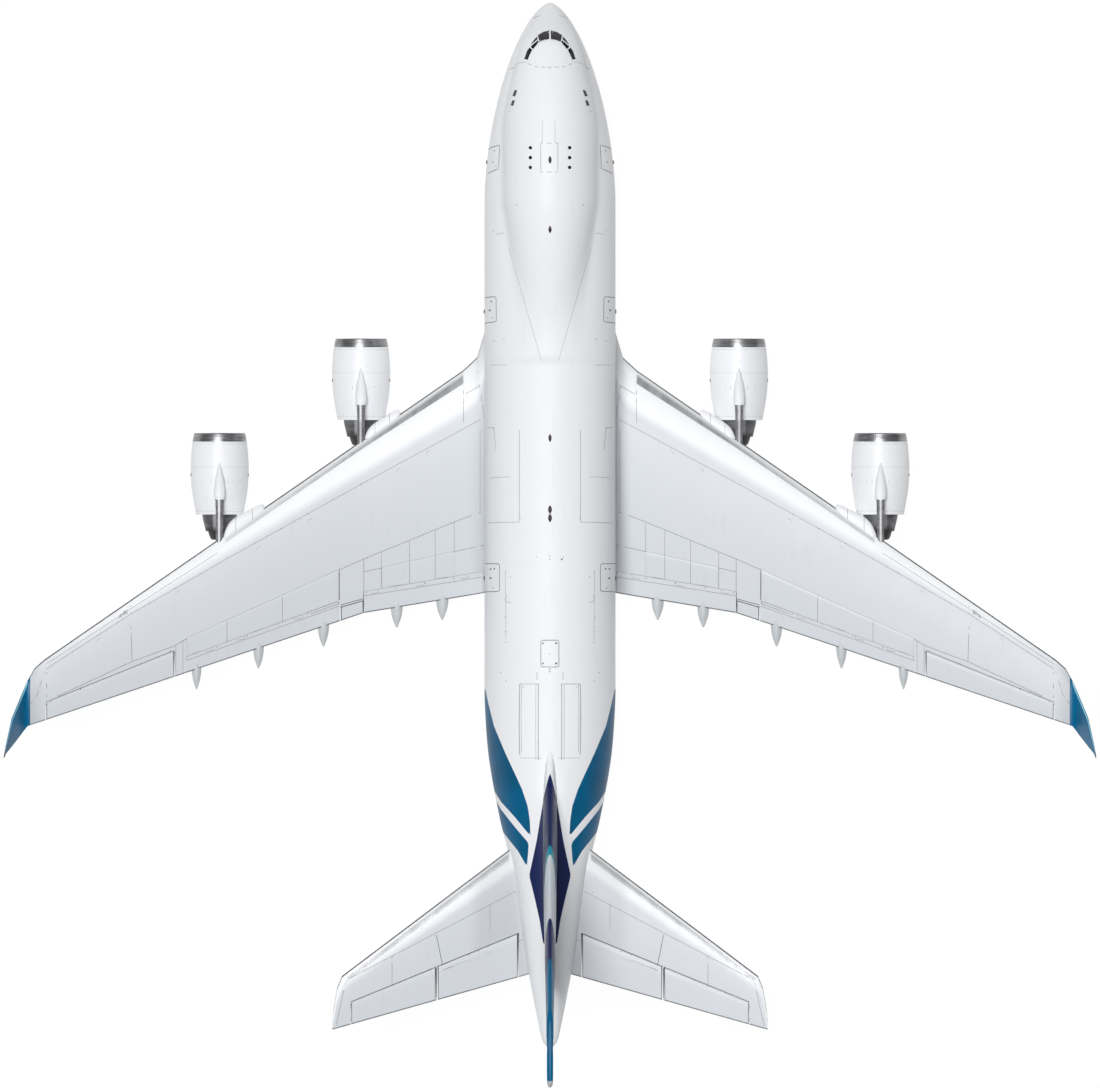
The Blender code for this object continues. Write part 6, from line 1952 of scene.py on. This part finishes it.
# Wheels
# Forged wheels with lightening holes and a hub cap, and black tyres with four running grooves.
def wheel_profiles():
    """The tyre's and the wheel's half sections about the wheel's middle, as (offset, radius)."""
    half = TYRE_WIDTH / 2.0
    side = []
    for k in range(9):
        t = math.radians(lerp(-62.0, 62.0, k / 8.0))
        side.append((half - 0.030 + 0.030 * math.cos(t), 0.222 + 0.058 * math.sin(t)))
    tread = [(0.093, 0.291), (0.082, 0.302), (0.070, 0.3065)]
    for groove in (0.048, 0.017):
        tread += [(groove + 0.006, TYRE_RADIUS - 0.001), (groove + 0.004, TYRE_RADIUS - 0.009),
                  (groove - 0.004, TYRE_RADIUS - 0.009), (groove - 0.006, TYRE_RADIUS)]
    outer = [(half - 0.012, 0.158)] + side + tread
    tyre = outer + [(-a, r) for a, r in reversed(outer)]
    rim = [(half - depth, r) for depth, r in (
        (0.006, 0.163), (0.002, 0.156), (0.02, 0.150), (0.03, 0.142), (0.045, 0.135),
        (0.062, 0.125), (0.066, 0.075), (0.04, 0.068), (0.012, 0.062), (0.008, 0.052))]
    return tyre, rim


finish = Finish("tyre_black")
wear = finish.noise(7.0, detail=4.0).rise(0.35, 0.75)
TYRE_BLACK = finish.done(finish.mix(wear, (0.012, 0.012, 0.013), (0.045, 0.043, 0.04)),
                         finish.noise(20.0) * 0.15 + 0.72, 0.0, finish.noise(90.0, detail=4.0), 0.0, 0.0012)
WHEEL_SILVER = brushed("wheel_silver", (0.45, 0.455, 0.46), (0.62, 0.62, 0.63), 0.3, 0.7, 5.0)


def turned_parts(profile, centre, axis, count):
    return skin_of_rings([circle(centre + axis * a, axis, r, count) for a, r in profile], False)


def wheels(name, x, s, twin, twin_sided=True):
    tyre, rim = wheel_profiles()
    across = Vector((1.0, 0.0, 0.0))
    tyres, rims = [], []
    count = 56
    for way in (-1.0, 1.0):
        centre = at(x + way * twin / 2.0, s, TYRE_RADIUS)
        verts, faces = turned_parts(tyre, centre, across, count)
        last = len(verts) - count
        faces += [(last + j, last + (j + 1) % count, (j + 1) % count, j) for j in range(count)]
        tyres.append((verts, faces))
        face = [(a * way, r) for a, r in rim]
        inner = [(-way * (TYRE_WIDTH / 2.0 - 0.006), 0.163), (-way * (TYRE_WIDTH / 2.0 - 0.03), 0.150),
                 (-way * 0.05, 0.14), (-way * 0.05, 0.06)]
        verts, faces = turned_parts(face, centre, across, 40)
        faces.append(tuple(range(len(verts) - 40, len(verts))))
        more, more_faces = turned_parts(inner, centre, across, 40)
        base = len(verts)
        verts += more
        faces += [tuple(base + i for i in f) for f in more_faces]
        faces += [(j, (j + 1) % 40, base + (j + 1) % 40, base + j) for j in range(40)]
        faces.append(tuple(range(len(verts) - 40, len(verts))))
        rims.append((verts, faces))
        for k in range(9):
            turn = 2.0 * math.pi * k / 9
            spot = centre + across * (way * (TYRE_WIDTH / 2.0 - 0.064))
            spot += Vector((0.0, 0.1 * math.cos(turn), 0.1 * math.sin(turn)))
            verts = circle(spot + across * (way * -0.004), across, 0.012, 10)
            verts += circle(spot + across * (way * 0.003), across, 0.010, 10)
            faces = [(j, (j + 1) % 10, 10 + (j + 1) % 10, 10 + j) for j in range(10)]
            rims.append((verts, faces + [tuple(range(10)), tuple(range(10, 20))]))
    axle = [at(x - twin / 2.0 + 0.02, s, TYRE_RADIUS), at(x + twin / 2.0 - 0.02, s, TYRE_RADIUS)]
    rims.append(pipe_parts(axle, 0.0448, 32))
    for way in (-1.0, 1.0):
        pack = [at(x + way * (twin / 2.0 - 0.155), s, TYRE_RADIUS), at(x + way * (twin / 2.0 - 0.05), s, TYRE_RADIUS)]
        rims.append(pipe_parts(pack, 0.115, 32))
    body = name + "_body"
    fit(gather(name.replace("wheels", "tyres", 1), tyres, 35.0), body, TYRE_BLACK, name, twin_sided)
    fit(gather(name.replace("wheels", "rims", 1), rims, 35.0), body, WHEEL_SILVER, None, twin_sided)


for label, (x, s) in (("wing", WING_GEAR), ("body", BODY_GEAR)):
    wheels("wheels_%s_front_left" % label, x, s - BOGIE_HALF, MAIN_TWIN)
    wheels("wheels_%s_rear_left" % label, x, s + BOGIE_HALF, MAIN_TWIN)
wheels("nose_wheels", 0.0, NOSE_GEAR_S, NOSE_TWIN, False)


# Nose gear doors
# Two bonded panels hang open beside the nose leg, white outside.
def gear_doors():
    paint = panel_paint("door_white_gloss", WHITE, 0.12)
    for name in ("nose_gear_door_left", "nose_gear_door_right"):
        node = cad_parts[name]
        node.data.materials.clear()
        node.data.materials.append(paint)


gear_doors()
